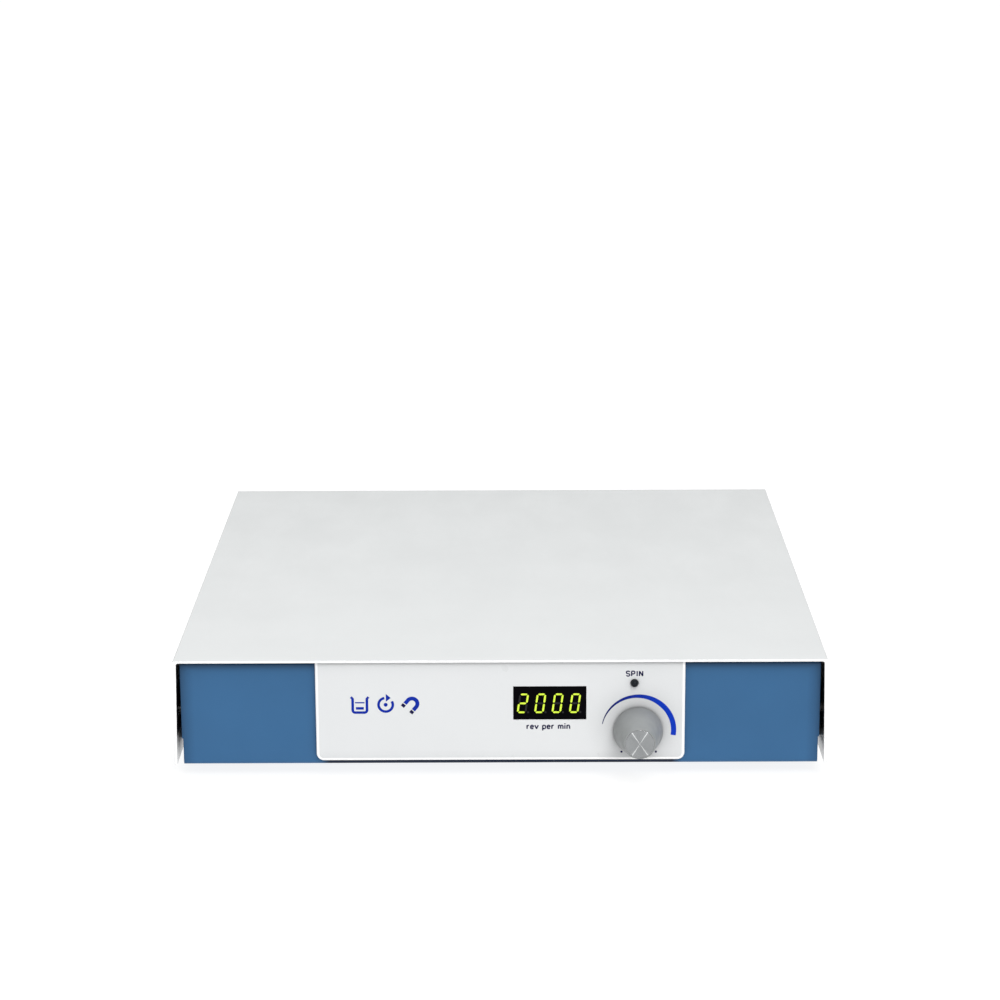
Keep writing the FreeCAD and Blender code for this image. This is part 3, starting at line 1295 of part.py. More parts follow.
os.makedirs("parts", exist_ok=True)
for node in nodes:
    node.Shape.exportStep(os.path.join("parts", node.Label + ".step"))
    box = node.Shape.BoundBox
    print(f"{node.Label}: {len(node.Shape.Solids)} solids, {node.Shape.Volume:.0f} mm3, "
          f"x {box.XMin:.1f}..{box.XMax:.1f} y {box.YMin:.1f}..{box.YMax:.1f} "
          f"z {box.ZMin:.1f}..{box.ZMax:.1f}")
print(len(nodes), "nodes, case shift", round(number(case_shift), 3))
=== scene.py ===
"""Looks for the magnetic stirrer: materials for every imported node, the print on the control panel
and the marks on the rear switch, with a plain studio. Metres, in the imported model's own frame."""

import json
import math

import bmesh
import bpy
from mathutils import Matrix, Vector


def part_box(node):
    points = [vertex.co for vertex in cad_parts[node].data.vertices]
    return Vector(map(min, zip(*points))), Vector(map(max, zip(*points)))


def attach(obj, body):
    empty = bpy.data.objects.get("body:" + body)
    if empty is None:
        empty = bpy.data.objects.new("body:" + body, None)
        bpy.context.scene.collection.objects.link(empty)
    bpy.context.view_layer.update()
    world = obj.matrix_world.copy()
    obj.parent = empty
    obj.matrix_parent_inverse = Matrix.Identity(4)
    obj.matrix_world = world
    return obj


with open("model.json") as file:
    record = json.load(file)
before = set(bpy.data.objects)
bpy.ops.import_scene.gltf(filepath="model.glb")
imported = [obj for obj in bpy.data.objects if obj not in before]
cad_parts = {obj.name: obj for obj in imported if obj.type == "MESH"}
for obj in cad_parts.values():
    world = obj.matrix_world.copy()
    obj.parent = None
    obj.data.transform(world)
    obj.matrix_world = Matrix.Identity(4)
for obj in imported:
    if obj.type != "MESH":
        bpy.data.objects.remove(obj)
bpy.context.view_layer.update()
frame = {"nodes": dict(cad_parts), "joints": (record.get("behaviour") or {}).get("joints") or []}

MM = 0.001


def centre(node):
    low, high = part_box(node)
    return (low + high) / 2


# ---------------------------------------------------------------- camera and studio

COVER = centre("top_cover")
COVER_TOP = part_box("top_cover")[1].z
CAMERA_FROM_COVER = Vector((4.6, -1191.8, 338.9)) * MM     # from the middle of the plate
CAMERA_FORWARD = Vector((-0.003962, 0.968179, -0.250229))
CAMERA_UP = Vector((0.003675, 0.250243, 0.968176))
CAMERA_LENS = 98.48

SKY_RISE = (0.25, 0.31, 0.06, 0.64)     # the world's strength against the sine of elevation
SKY_COLOUR = (0.97, 0.985, 1.0, 1.0)
OVERHEAD_PLACE, OVERHEAD_TARGET = (0.0, 0.15, 1.7), (0.0, 0.1, 0.0)
OVERHEAD_SIDE = 2.0
OVERHEAD_POWER = 12.5
SUN_STRENGTH = 1.53
SUN_ELEVATION, SUN_ROUND, SUN_SPREAD = 50.0, 20.0, 34.0     # degrees
LEFT_KICKER, RIGHT_KICKER = (-0.265, -1.35, 0.02), (0.365, -1.33, 0.02)     # from the knob's disc
KICKER_POWER = 0.8
KICKER_SIZE = 0.025
FLOOR_HALF = 14.0
FLOOR_DROP = 0.0002     # keeps the floor just clear of the feet
FLOOR_GREY = (0.17, 0.17, 0.17)
FLOOR_GLOW = 5.1     # the table is lit from below too; this is a share of its colour


def make_camera():
    data = bpy.data.cameras.new("camera")
    data.lens = CAMERA_LENS
    data.sensor_width = 36.0
    data.clip_end = 100.0
    camera = bpy.data.objects.new("camera", data)
    bpy.context.scene.collection.objects.link(camera)
    right = CAMERA_FORWARD.cross(CAMERA_UP).normalized()
    up = right.cross(CAMERA_FORWARD).normalized()
    turn = Matrix((right, up, -CAMERA_FORWARD.normalized())).transposed().to_4x4()
    spot = Vector((COVER.x, COVER.y, COVER_TOP)) + CAMERA_FROM_COVER
    camera.matrix_world = Matrix.Translation(spot) @ turn
    bpy.context.scene.camera = camera


def soft_light(name, place, target, side, power):
    data = bpy.data.lights.new(name, "AREA")
    data.shape = "RECTANGLE"
    data.size = data.size_y = side
    data.energy = power
    light = bpy.data.objects.new(name, data)
    bpy.context.scene.collection.objects.link(light)
    way = (Vector(target) - Vector(place)).to_track_quat("-Z", "Y")
    light.matrix_world = Matrix.Translation(Vector(place)) @ way.to_matrix().to_4x4()
    return light


def make_sky():
    """A world that is dim at the horizon, which darkens what the plate mirrors at its rear."""
    world = bpy.data.worlds.new("studio")
    world.use_nodes = True
    sky = world.node_tree
    background = sky.nodes["Background"]
    height = sky.nodes.new("ShaderNodeSeparateXYZ")
    sky.links.new(sky.nodes.new("ShaderNodeTexCoord").outputs["Generated"], height.inputs[0])
    rise = sky.nodes.new("ShaderNodeMapRange")
    sky.links.new(height.outputs[2], rise.inputs["Value"])
    for name, value in zip(("From Min", "From Max", "To Min", "To Max"), SKY_RISE):
        rise.inputs[name].default_value = value
    sky.links.new(rise.outputs["Result"], background.inputs["Strength"])
    background.inputs["Color"].default_value = SKY_COLOUR
    bpy.context.scene.world = world


def make_lights():
    overhead = soft_light("overhead", OVERHEAD_PLACE, OVERHEAD_TARGET, OVERHEAD_SIDE,
                          OVERHEAD_POWER)
    overhead.visible_glossy = False     # so that the plate doesn't mirror it when seen from above
    sun = bpy.data.lights.new("window_light", "SUN")
    sun.energy = SUN_STRENGTH
    sun.angle = math.radians(SUN_SPREAD)
    light = bpy.data.objects.new("window_light", sun)
    bpy.context.scene.collection.objects.link(light)
    low, round_by = math.radians(SUN_ELEVATION), math.radians(SUN_ROUND)
    way = Vector((math.sin(round_by) * math.cos(low), -math.cos(round_by) * math.cos(low),
                  math.sin(low)))
    light.matrix_world = way.to_track_quat("Z", "Y").to_matrix().to_4x4()
    knob = centre("knob_disc")
    for name, spot in (("left_kicker", LEFT_KICKER), ("right_kicker", RIGHT_KICKER)):
        soft_light(name, knob + Vector(spot), knob, KICKER_SIZE, KICKER_POWER)


def make_floor():
    mesh = bpy.data.meshes.new("floor")
    corners = [(-FLOOR_HALF, -FLOOR_HALF, 0), (FLOOR_HALF, -FLOOR_HALF, 0),
               (FLOOR_HALF, FLOOR_HALF, 0), (-FLOOR_HALF, FLOOR_HALF, 0)]
    mesh.from_pydata(corners, [], [(0, 1, 2, 3)])
    floor = bpy.data.objects.new("floor", mesh)
    bpy.context.scene.collection.objects.link(floor)
    floor.location.z = -FLOOR_DROP
    mesh.materials.append(surface("floor", FLOOR_GREY, 0.75, tint=0.004, tint_scale=1.2,
                                  grain=0.0, specular=0.1, emission=FLOOR_GLOW))


def make_studio():
    bpy.context.scene.view_settings.view_transform = "Standard"
    make_sky()
    make_lights()
    make_floor()


# ---------------------------------------------------------------- materials

class Tree:
    """A material's nodes, with short calls that make and link them."""

    def __init__(self, name):
        self.material = bpy.data.materials.new(name)
        self.material.use_nodes = True
        self.tree = self.material.node_tree
        self.shader = self.tree.nodes["Principled BSDF"]
        self.coordinates = self.add("ShaderNodeTexCoord").outputs["Object"]

    def add(self, kind, **settings):
        node = self.tree.nodes.new(kind)
        for name, value in settings.items():
            setattr(node, name, value)
        return node

    def link(self, source, socket):
        if hasattr(source, "links"):
            self.tree.links.new(source, socket)
        else:
            socket.default_value = source

    def noise(self, scale, detail=2.0, roughness=0.5, stretch=None):
        node = self.add("ShaderNodeTexNoise")
        node.inputs["Scale"].default_value = scale
        node.inputs["Detail"].default_value = detail
        node.inputs["Roughness"].default_value = roughness
        vector = self.coordinates
        if stretch:
            mapping = self.add("ShaderNodeMapping")
            mapping.inputs["Scale"].default_value = stretch
            self.link(vector, mapping.inputs["Vector"])
            vector = mapping.outputs["Vector"]
        self.link(vector, node.inputs["Vector"])
        return node.outputs["Fac"]

    def spread(self, value, low, high, start=0.3, end=0.7):
        """Maps a value from start..end to low..high."""
        node = self.add("ShaderNodeMapRange")
        for name, number in (("From Min", start), ("From Max", end),
                             ("To Min", low), ("To Max", high)):
            self.link(number, node.inputs[name])
        self.link(value, node.inputs["Value"])
        return node.outputs["Result"]

    def mix(self, share, first, second):
        node = self.add("ShaderNodeMix", data_type="RGBA")
        self.link(share, node.inputs[0])
        self.link(first, node.inputs[6])
        self.link(second, node.inputs[7])
        return node.outputs[2]

    def math(self, operation, first, second=0.0):
        node = self.add("ShaderNodeMath", operation=operation)
        self.link(first, node.inputs[0])
        self.link(second, node.inputs[1])
        return node.outputs[0]

    def split(self, vector):
        node = self.add("ShaderNodeSeparateXYZ")
        self.link(vector, node.inputs[0])
        return node.outputs

    def edges(self, radius):
        """A rounded normal, and a mask that is about 1 along outside edges and 0 on flats."""
        soft = self.add("ShaderNodeBevel", samples=4)
        soft.inputs["Radius"].default_value = radius
        plain = self.add("ShaderNodeNewGeometry")
        dot = self.add("ShaderNodeVectorMath", operation="DOT_PRODUCT")
        self.link(soft.outputs["Normal"], dot.inputs[0])
        self.link(plain.outputs["Normal"], dot.inputs[1])
        return soft.outputs["Normal"], self.spread(dot.outputs["Value"], 1.0, 0.0, 0.75, 0.995)

    def crevices(self, reach):
        """1 in the open, less where other faces stand closer than reach."""
        node = self.add("ShaderNodeAmbientOcclusion", samples=8)
        node.inputs["Distance"].default_value = reach
        return node.outputs["AO"]

    def set(self, **values):
        for name, value in values.items():
            self.link(value, self.shader.inputs[name.replace("_", " ")])


def rgba(colour, gain=1.0):
    return tuple(min(1.0, c * gain) for c in colour[:3]) + (1.0,)


def surface(name, colour, roughness, *, metallic=0.0, tint=0.05, tint_scale=60.0, grain=0.02,
            grain_scale=1400.0, stretch=None, rounding=0.0, edge_wear_and_highlight=0.0, worn_and_highlight=(0.8, 0.8, 0.8),
            spread=0.25, anisotropy=0.0, radial=None, turn=0.0, emission=0.0, specular=0.5,
            occlusion_shade=None, shade=None):
    """A procedural surface: colour that drifts a little, grain in bump and roughness, soft edges
    that may be lighter (scuffed on most parts, a painted highlight on the knob's disc), and painted
    shade in crevices, set by how near other faces have to stand and the share of the colour that is
    left there.
    Lengths are in metres, scales are counts per metre. shade is a function that makes a mask, and
    the colour painted where that mask is 1:
    painted shade on the tray, painted highlights on the panel's rim and the knob's disc."""
    tree = Tree(name)
    drift = tree.noise(tint_scale, 4.0, 0.55)
    base = tree.mix(tree.spread(drift, 0.0, 1.0), rgba(colour, 1.0 - tint),
                    rgba(colour, 1.0 + tint))
    fine = tree.noise(grain_scale, 3.0, 0.6, stretch)
    blotch = tree.noise(tint_scale * 2.7, 3.0, 0.5)
    rough = tree.spread(blotch, roughness * (1.0 - spread), min(1.0, roughness * (1.0 + spread)))
    # Painted shade: the colour darkens where other faces stand near.
    if occlusion_shade:
        reach, left_over = occlusion_shade
        dark = tree.spread(tree.crevices(reach), 1.0, 0.0, 0.3, 0.98)
        base = tree.mix(dark, base, rgba(colour, left_over))
    normal = None
    if rounding:
        normal, edge = tree.edges(rounding)
        # Edges take a lighter colour: scuffing on most parts, a painted highlight on the knob's
        # disc.
        if edge_wear_and_highlight:
            patchy = tree.spread(tree.noise(260.0, 4.0, 0.6), 0.0, edge_wear_and_highlight, 0.42, 0.68)
            wear_and_highlight_share = tree.math("MULTIPLY", edge, patchy)
            base = tree.mix(wear_and_highlight_share, base, rgba(worn_and_highlight))
    if shade:
        mask, other = shade
        base = tree.mix(mask(tree), base, rgba(other))
    bump = tree.add("ShaderNodeBump")
    bump.inputs["Strength"].default_value = 1.0
    bump.inputs["Distance"].default_value = grain * MM
    tree.link(fine, bump.inputs["Height"])
    if normal is not None:
        tree.link(normal, bump.inputs["Normal"])
    tree.set(Base_Color=base, Roughness=rough, Metallic=metallic, Specular_IOR_Level=specular,
             Anisotropic=anisotropy, Anisotropic_Rotation=turn, Normal=bump.outputs["Normal"])
    if radial:
        tangent = tree.add("ShaderNodeTangent", direction_type="RADIAL", axis=radial)
        tree.link(tangent.outputs["Tangent"], tree.shader.inputs["Tangent"])
    if emission:
        tree.link(base, tree.shader.inputs["Emission Color"])
        tree.set(Emission_Strength=emission)
    return tree.material


def paint(node, material):
    """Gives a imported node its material."""
    mesh = frame["nodes"][node].data
    mesh.materials.clear()
    mesh.materials.append(material)


WHITE = (0.74, 0.75, 0.745)
PANEL_WHITE = (0.705, 0.715, 0.72)
BLUE = (0.036, 0.125, 0.268)
ZINC = (0.62, 0.61, 0.58)
COPPER = (0.70, 0.32, 0.14)
BLACK = (0.012, 0.012, 0.013)


EDGE_WHITE = (0.98, 0.98, 0.98, 1.0)     # painted highlight on the sheet's front-facing edge faces, and the colour of its scuffed edges
INSIDE_SHADE = (0.012, 0.012, 0.013, 1.0)
LIT_LINING = (0.78, 0.76, 0.74, 1.0)
INSIDE_SHADE_DEPTH, INSIDE_SHADE_FADE = 30 * MM, 3 * MM     # how far down the painted shade inside reaches


def cover_material():
    """White enamel outside, with a painted highlight on the faces turned to the front; inside,
    painted shade that is near black and stops short of the skirts' lower edges, where a light lining
    is painted as if lit from the floor.
    """
    tree = Tree("white_enamel")
    drift = tree.noise(24.0, 4.0, 0.5)
    enamel = tree.mix(tree.spread(drift, 0.0, 1.0), rgba(WHITE, 0.985), rgba(WHITE, 1.015))
    normal, edge = tree.edges(0.5 * MM)
    patchy = tree.spread(tree.noise(180.0, 4.0, 0.6), 0.6, 1.0, 0.4, 0.7)
    place = tree.split(tree.coordinates)
    facing = tree.split(tree.add("ShaderNodeTexCoord").outputs["Normal"])
    # Faces turned to the front get a painted highlight.
    front_highlight = tree.math("LESS_THAN", facing[1], -0.5)
    bright = tree.math("MAXIMUM", front_highlight, tree.math("MULTIPLY", edge, patchy))
    enamel = tree.mix(bright, enamel, EDGE_WHITE)
    # Inside faces get painted shade: near black high up, and a light lining low down where the floor
    # lights it.
    inward = tree.math("LESS_THAN", tree.math("MULTIPLY", place[0], facing[0]), -0.03)
    under = tree.math("LESS_THAN", facing[2], -0.5)
    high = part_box("base_tray")[1].z
    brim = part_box("top_cover")[1].x - 2.0 * MM
    upper = tree.math("MULTIPLY", tree.math("GREATER_THAN", place[2], high - 4 * MM),
                      tree.math("LESS_THAN", tree.math("ABSOLUTE", place[0]), brim))
    inside = tree.math("MAXIMUM", inward, tree.math("MULTIPLY", under, upper))
    lit_share = tree.spread(place[2], 1.0, 0.0, high - INSIDE_SHADE_DEPTH - INSIDE_SHADE_FADE,
                       high - INSIDE_SHADE_DEPTH)
    lining = tree.mix(lit_share, INSIDE_SHADE, LIT_LINING)
    base = tree.mix(inside, enamel, lining)
    smears = tree.noise(55.0, 5.0, 0.65, (1.0, 0.35, 1.0))
    rough = tree.spread(smears, 0.16, 0.27)
    peel = tree.add("ShaderNodeBump")
    peel.inputs["Strength"].default_value = 1.0
    peel.inputs["Distance"].default_value = 0.006 * MM
    tree.link(tree.noise(520.0, 2.0, 0.45), peel.inputs["Height"])
    tree.link(normal, peel.inputs["Normal"])
    tree.set(Base_Color=base, Roughness=rough, Coat_Weight=0.2, Coat_Roughness=0.06,
             Normal=peel.outputs["Normal"])
    return tree.material


def fuse_material():
    """Clear tube in the middle, plated caps at both ends."""
    tree = Tree("fuse")
    low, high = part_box("glass_fuse")
    along = tree.split(tree.coordinates)[0]
    from_middle = tree.math("ABSOLUTE", tree.math("SUBTRACT", along, (low.x + high.x) / 2))
    cap = tree.math("GREATER_THAN", from_middle, 5.0 * MM)
    tree.set(Base_Color=tree.mix(cap, (0.80, 0.86, 0.86, 1.0), (0.72, 0.71, 0.68, 1.0)),
             Metallic=cap, Roughness=tree.spread(tree.noise(900.0), 0.08, 0.3),
             Alpha=tree.spread(cap, 0.35, 1.0, 0.0, 1.0))
    return tree.material


def board_material():
    """Green solder mask with faint copper tracks under it."""
    tree = Tree("circuit_board")
    tracks = tree.add("ShaderNodeTexBrick")
    tracks.inputs["Scale"].default_value = 190.0
    tracks.inputs["Mortar Size"].default_value = 0.06
    tree.link(tree.coordinates, tracks.inputs["Vector"])
    share = tree.math("MULTIPLY", tracks.outputs["Fac"], 0.6)
    drift = tree.noise(45.0, 4.0)
    mask = tree.mix(tree.spread(drift, 0.0, 1.0), (0.006, 0.085, 0.03, 1.0),
                    (0.01, 0.12, 0.045, 1.0))
    bump = tree.add("ShaderNodeBump")
    bump.inputs["Distance"].default_value = 0.02 * MM
    tree.link(tracks.outputs["Fac"], bump.inputs["Height"])
    tree.set(Base_Color=tree.mix(share, mask, (0.03, 0.22, 0.09, 1.0)),
             Roughness=tree.spread(drift, 0.28, 0.42), Normal=bump.outputs["Normal"])
    return tree.material


def striped_material(name, first, second, scale, way):
    """Two colours in bands, as on an earth wire or a wound coil."""
    tree = Tree(name)
    wave = tree.add("ShaderNodeTexWave", bands_direction=way)
    wave.inputs["Scale"].default_value = scale
    wave.inputs["Distortion"].default_value = 0.4
    tree.link(tree.coordinates, wave.inputs["Vector"])
    bump = tree.add("ShaderNodeBump")
    bump.inputs["Distance"].default_value = 0.03 * MM
    tree.link(wave.outputs["Fac"], bump.inputs["Height"])
    tree.set(Base_Color=tree.mix(wave.outputs["Fac"], rgba(first), rgba(second)),
             Roughness=tree.spread(tree.noise(300.0), 0.35, 0.5), Normal=bump.outputs["Normal"])
    return tree.material


def looms_material(name, colours, way, pitch):
    """Several wires side by side, coloured in turn by their place across the loom."""
    tree = Tree(name)
    place = tree.split(tree.coordinates)[way]
    steps = tree.math("FRACT", tree.math("DIVIDE", place, pitch * len(colours)))
    base = rgba(colours[0])
    for i, colour in enumerate(colours[1:], 1):
        base = tree.mix(tree.math("GREATER_THAN", steps, i / len(colours)), base, rgba(colour))
    tree.set(Base_Color=base, Roughness=tree.spread(tree.noise(400.0), 0.38, 0.55))
    return tree.material


LIP_SHADE, END_SHADE = 5.0 * MM, 7.0 * MM     # how far the shade reaches from the lip and ends
LIP_DARK, END_DARK = 0.85, 0.42


def tray_painted_shade(tree):
    """Painted shade on the blue enamel: under the cover's lip, beside the skirts, and on the strip
    of the tray's front under the control panel, which the panel shades."""
    low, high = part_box("control_panel")
    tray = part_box("base_tray")[1]
    place = tree.split(tree.coordinates)
    outward = tree.math("ABSOLUTE", place[0])
    lip = tree.math("POWER", tree.spread(place[2], 0.0, 1.0, tray.z - LIP_SHADE, tray.z), 2.0)
    ends = tree.spread(outward, 0.0, END_DARK, tray.x - END_SHADE, tray.x)
    from_middle = tree.math("ABSOLUTE", tree.math("SUBTRACT", place[0], (low.x + high.x) / 2))
    half = (high.x - low.x) / 2
    across = tree.spread(from_middle, 1.0, 0.0, half - 5 * MM, half - 1 * MM)
    down = tree.spread(place[2], 1.0, 0.0, low.z, low.z + 1 * MM)
    front = tree.math("LESS_THAN", place[1], low.y + 4 * MM)
    strip = tree.math("MULTIPLY", tree.math("MULTIPLY", across, down), front)
    return tree.math("MAXIMUM", strip,
                     tree.math("MAXIMUM", tree.math("MULTIPLY", lip, LIP_DARK), ends))


PANEL_CORNER = 3.0 * MM     # radius of the panel's lower corners
RIM_BAND, RIM_FADE = 1.3 * MM, 0.4 * MM


def painted_rim_highlight(tree):
    """A painted highlight on the panel's rounded rim and a narrow band inside it. Its upper edge
    lies under the cover's lip and stays as it is."""
    low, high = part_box("control_panel")
    place = tree.split(tree.coordinates)
    facing = tree.split(tree.add("ShaderNodeTexCoord").outputs["Normal"])[1]
    rounded = tree.spread(facing, 0.0, 1.0, -0.985, -0.90)
    corner = PANEL_CORNER - RIM_BAND
    from_middle = tree.math("ABSOLUTE", tree.math("SUBTRACT", place[0], (low.x + high.x) / 2))
    across = tree.math("MAXIMUM", 0.0, tree.math(
        "SUBTRACT", from_middle, (high.x - low.x) / 2 - PANEL_CORNER))
    down = tree.math("MAXIMUM", 0.0, tree.math("SUBTRACT", low.z + PANEL_CORNER, place[2]))
    reach = tree.math("POWER", tree.math("ADD", tree.math("MULTIPLY", across, across),
                                         tree.math("MULTIPLY", down, down)), 0.5)
    band = tree.spread(reach, 0.0, 1.0, corner, corner + RIM_FADE)
    return tree.math("MAXIMUM", rounded, band)


RAY_LEANS = (-34.5, 32.0)     # degrees from upright, to the right
RAY_HALF, RAY_SPREAD = 0.09 * MM, 0.036     # half width at the middle, and its growth outwards


def painted_ray_highlights(tree):
    """Painted highlight: two bright rays across the spun face of the knob's disc, wider towards its
    rim.
    """
    middle = centre("knob_disc")
    place = tree.split(tree.coordinates)
    x = tree.math("SUBTRACT", place[0], middle.x)
    z = tree.math("SUBTRACT", place[2], middle.z)
    radius = tree.math("POWER", tree.math("ADD", tree.math("MULTIPLY", x, x),
                                          tree.math("MULTIPLY", z, z)), 0.5)
    half = tree.math("ADD", tree.math("MULTIPLY", radius, RAY_SPREAD), RAY_HALF)
    rays = 0.0
    for degrees in RAY_LEANS:
        lean = math.radians(degrees)
        off = tree.math("SUBTRACT", tree.math("MULTIPLY", x, math.cos(lean)),
                        tree.math("MULTIPLY", z, math.sin(lean)))
        share = tree.math("DIVIDE", tree.math("ABSOLUTE", off), half)
        rays = tree.math("MAXIMUM", rays, tree.spread(share, 1.0, 0.0, 0.3, 1.0))
    return rays


def paint_all():
    zinc = surface("zinc_plate", ZINC, 0.34, metallic=1.0, tint=0.10, tint_scale=140,
                   grain=0.004, grain_scale=2600, rounding=0.12 * MM)
    aluminium = surface("turned_aluminium", (0.70, 0.71, 0.72), 0.30, metallic=1.0, tint=0.05,
                        grain=0.004, grain_scale=2200, stretch=(1.0, 1.0, 6.0),
                        rounding=0.15 * MM)
    steel = surface("ground_steel", (0.55, 0.55, 0.55), 0.24, metallic=1.0, tint=0.06,
                    grain=0.003, grain_scale=3000, stretch=(1.0, 1.0, 8.0))
    rubber = surface("rubber", (0.022, 0.022, 0.023), 0.78, tint=0.2, tint_scale=200,
                     grain=0.05, grain_scale=1500, rounding=0.4 * MM, edge_wear_and_highlight=0.3,
                     worn_and_highlight=(0.08, 0.08, 0.08))
    black = surface("black_moulding", BLACK, 0.42, tint=0.15, tint_scale=90, grain=0.02,
                    grain_scale=1900, rounding=0.25 * MM, edge_wear_and_highlight=0.25, worn_and_highlight=(0.06, 0.06, 0.06))
    brass = surface("brass", (0.72, 0.52, 0.22), 0.28, metallic=1.0, tint=0.08, tint_scale=200,
                    grain=0.005, grain_scale=2400)
    nylon = surface("white_nylon", (0.74, 0.72, 0.66), 0.45, tint=0.04, grain=0.015,
                    rounding=0.15 * MM)
    boards = board_material()
    looks = {
        "top_cover": cover_material(),
        # The blue enamel carries painted shade: in crevices, under the cover's lip, beside the
        # skirts and under the control panel.
        "base_tray": surface("blue_enamel", BLUE, 0.40, tint=0.035, tint_scale=30, grain=0.012,
                             grain_scale=900, rounding=0.35 * MM, edge_wear_and_highlight=0.10,
                             worn_and_highlight=(0.08, 0.18, 0.32), specular=0.2,
                             occlusion_shade=(4 * MM, 0.6), shade=(tray_painted_shade, (0.002, 0.010, 0.032))),
        # The white moulding carries painted shade around the knob and in crevices, and a painted
        # highlight on its rim.
        "control_panel": surface("white_moulding", PANEL_WHITE, 0.34, tint=0.012, tint_scale=20,
                                 grain=0.008, grain_scale=1500, rounding=0.3 * MM,
                                 occlusion_shade=(12 * MM, 0.45),
                                 shade=(painted_rim_highlight, (0.97, 0.97, 0.97))),
        "display_module": surface("display_face", (0.0016, 0.0013, 0.0022), 0.30, tint=0.2,
                                  tint_scale=120, grain=0.003, grain_scale=1200,
                                  rounding=0.15 * MM, specular=0.02),
        "lit_segments": surface("lit_segment", (0.46, 0.60, 0.045), 0.45, tint=0.14,
                                tint_scale=520, grain=0.004, emission=0.60, specular=0.1),
        "unlit_segments": surface("unlit_segment", (0.016, 0.016, 0.017), 0.4, tint=0.3,
                                  tint_scale=420, grain=0.004, specular=0.1),
        "status_light": surface("dark_lens", (0.008, 0.010, 0.013), 0.35, tint=0.2,
                                tint_scale=300, grain=0.002, specular=0.15),
        # The grey moulding carries painted shade where the panel and other faces stand near.
        "speed_knob": surface("grey_moulding", (0.27, 0.28, 0.28), 0.46, tint=0.035,
                              tint_scale=110, grain=0.010, grain_scale=2200,
                              rounding=0.25 * MM, edge_wear_and_highlight=0.30, worn_and_highlight=(0.36, 0.37, 0.37),
                              occlusion_shade=(14 * MM, 0.55)),
        # The spun disc carries painted highlights: two rays across its face and a light rim on its
        # edge.
        "knob_disc": surface("spun_aluminium", (0.31, 0.32, 0.325), 0.20, metallic=1.0,
                             tint=0.03, tint_scale=260, grain=0.0, grain_scale=2600,
                             rounding=0.15 * MM, edge_wear_and_highlight=3.0, worn_and_highlight=(0.60, 0.60, 0.60),
                             shade=(painted_ray_highlights, (0.52, 0.53, 0.53)),
                             anisotropy=1.0, radial="Y", turn=0.25, spread=0.05),
        "motor_can": zinc, "motor_bracket": zinc, "rotary_control": zinc, "hex_nuts": zinc,
        "cover_screws": zinc, "foot_screws": zinc, "bracket_screws": zinc, "board_screws": zinc,
        "inlet_screws": zinc, "control_washer": zinc, "control_nut": zinc,
        "control_shaft": aluminium, "motor_posts": aluminium, "magnet_hub": aluminium,
        "heat_sink": aluminium, "motor_shaft": steel, "steel_yoke": steel,
        "knob_grub_screw": steel, "hub_grub_screw": steel, "rubber_feet": rubber,
        "rubber_isolators": rubber, "motor_end_cap": black, "mains_inlet": black,
        "fuse_drawer": black, "switch_body": black,
        "switch_rocker": surface("rocker", (0.016, 0.016, 0.017), 0.30, tint=0.15,
                                 grain=0.012, grain_scale=1900, rounding=0.3 * MM, edge_wear_and_highlight=0.35,
                                 worn_and_highlight=(0.07, 0.07, 0.07)),
        "inlet_pins": brass, "switch_terminals": brass, "motor_bushes": brass,
        "commutator": brass, "board_standoffs": brass, "earth_stud": brass,
        "magnet_carrier": nylon, "display_spacers": nylon, "board_connectors": nylon,
        "display_board": boards, "control_board": boards, "power_board": boards,
        "speed_sensor": boards,
        "field_magnets": surface("ferrite", (0.03, 0.03, 0.032), 0.6, tint=0.25,
                                 tint_scale=400, grain=0.03),
        "motor_brushes": surface("carbon", (0.02, 0.02, 0.02), 0.5, tint=0.3, tint_scale=700,
                                 grain=0.02),
        "armature": striped_material("armature_copper", COPPER, (0.35, 0.13, 0.05), 900.0, "Z"),
        "drive_magnets": surface("nickel_plate", (0.62, 0.60, 0.56), 0.18, metallic=1.0,
                                 tint=0.05, grain=0.002, rounding=0.2 * MM),
        "control_chips": surface("chip", (0.012, 0.012, 0.012), 0.55, tint=0.2, tint_scale=500,
                                 grain=0.01, rounding=0.1 * MM),
        "capacitors": surface("capacitor_sleeve", (0.012, 0.016, 0.05), 0.3, tint=0.2,
                              tint_scale=120, grain=0.008, rounding=0.3 * MM),
        "power_transformer": striped_material("transformer", (0.55, 0.42, 0.06),
                                              (0.42, 0.30, 0.04), 260.0, "Z"),
        "glass_fuse": fuse_material(),
        "mains_wires": looms_material("mains_insulation", [(0.20, 0.06, 0.02),
                                                           (0.02, 0.10, 0.42)], 0, 24 * MM),
        "earth_wire": striped_material("earth_insulation", (0.05, 0.30, 0.04),
                                       (0.72, 0.62, 0.03), 110.0, "DIAGONAL"),
        "signal_wires": looms_material("signal_insulation", [(0.45, 0.02, 0.02),
                                                             (0.02, 0.02, 0.02)], 1, 4 * MM),
        "front_panel_wires": looms_material(
            "ribbon_insulation", [(0.40, 0.03, 0.02), (0.55, 0.25, 0.02), (0.60, 0.50, 0.03),
                                  (0.05, 0.28, 0.06)], 0, 2.2 * MM),
    }
    missing = set(frame["nodes"]) - set(looks)
    if missing:
        raise RuntimeError(f"no material for {sorted(missing)}")
    for node, material in looks.items():
        paint(node, material)


# ---------------------------------------------------------------- print on the panel

PANEL_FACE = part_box("control_panel")[0].y
KNOB = centre("speed_knob")
DISPLAY = centre("display_module")
LIGHT = centre("status_light")
PRINT_PROUD = 0.04 * MM
PRINT_SUNK = 0.03 * MM


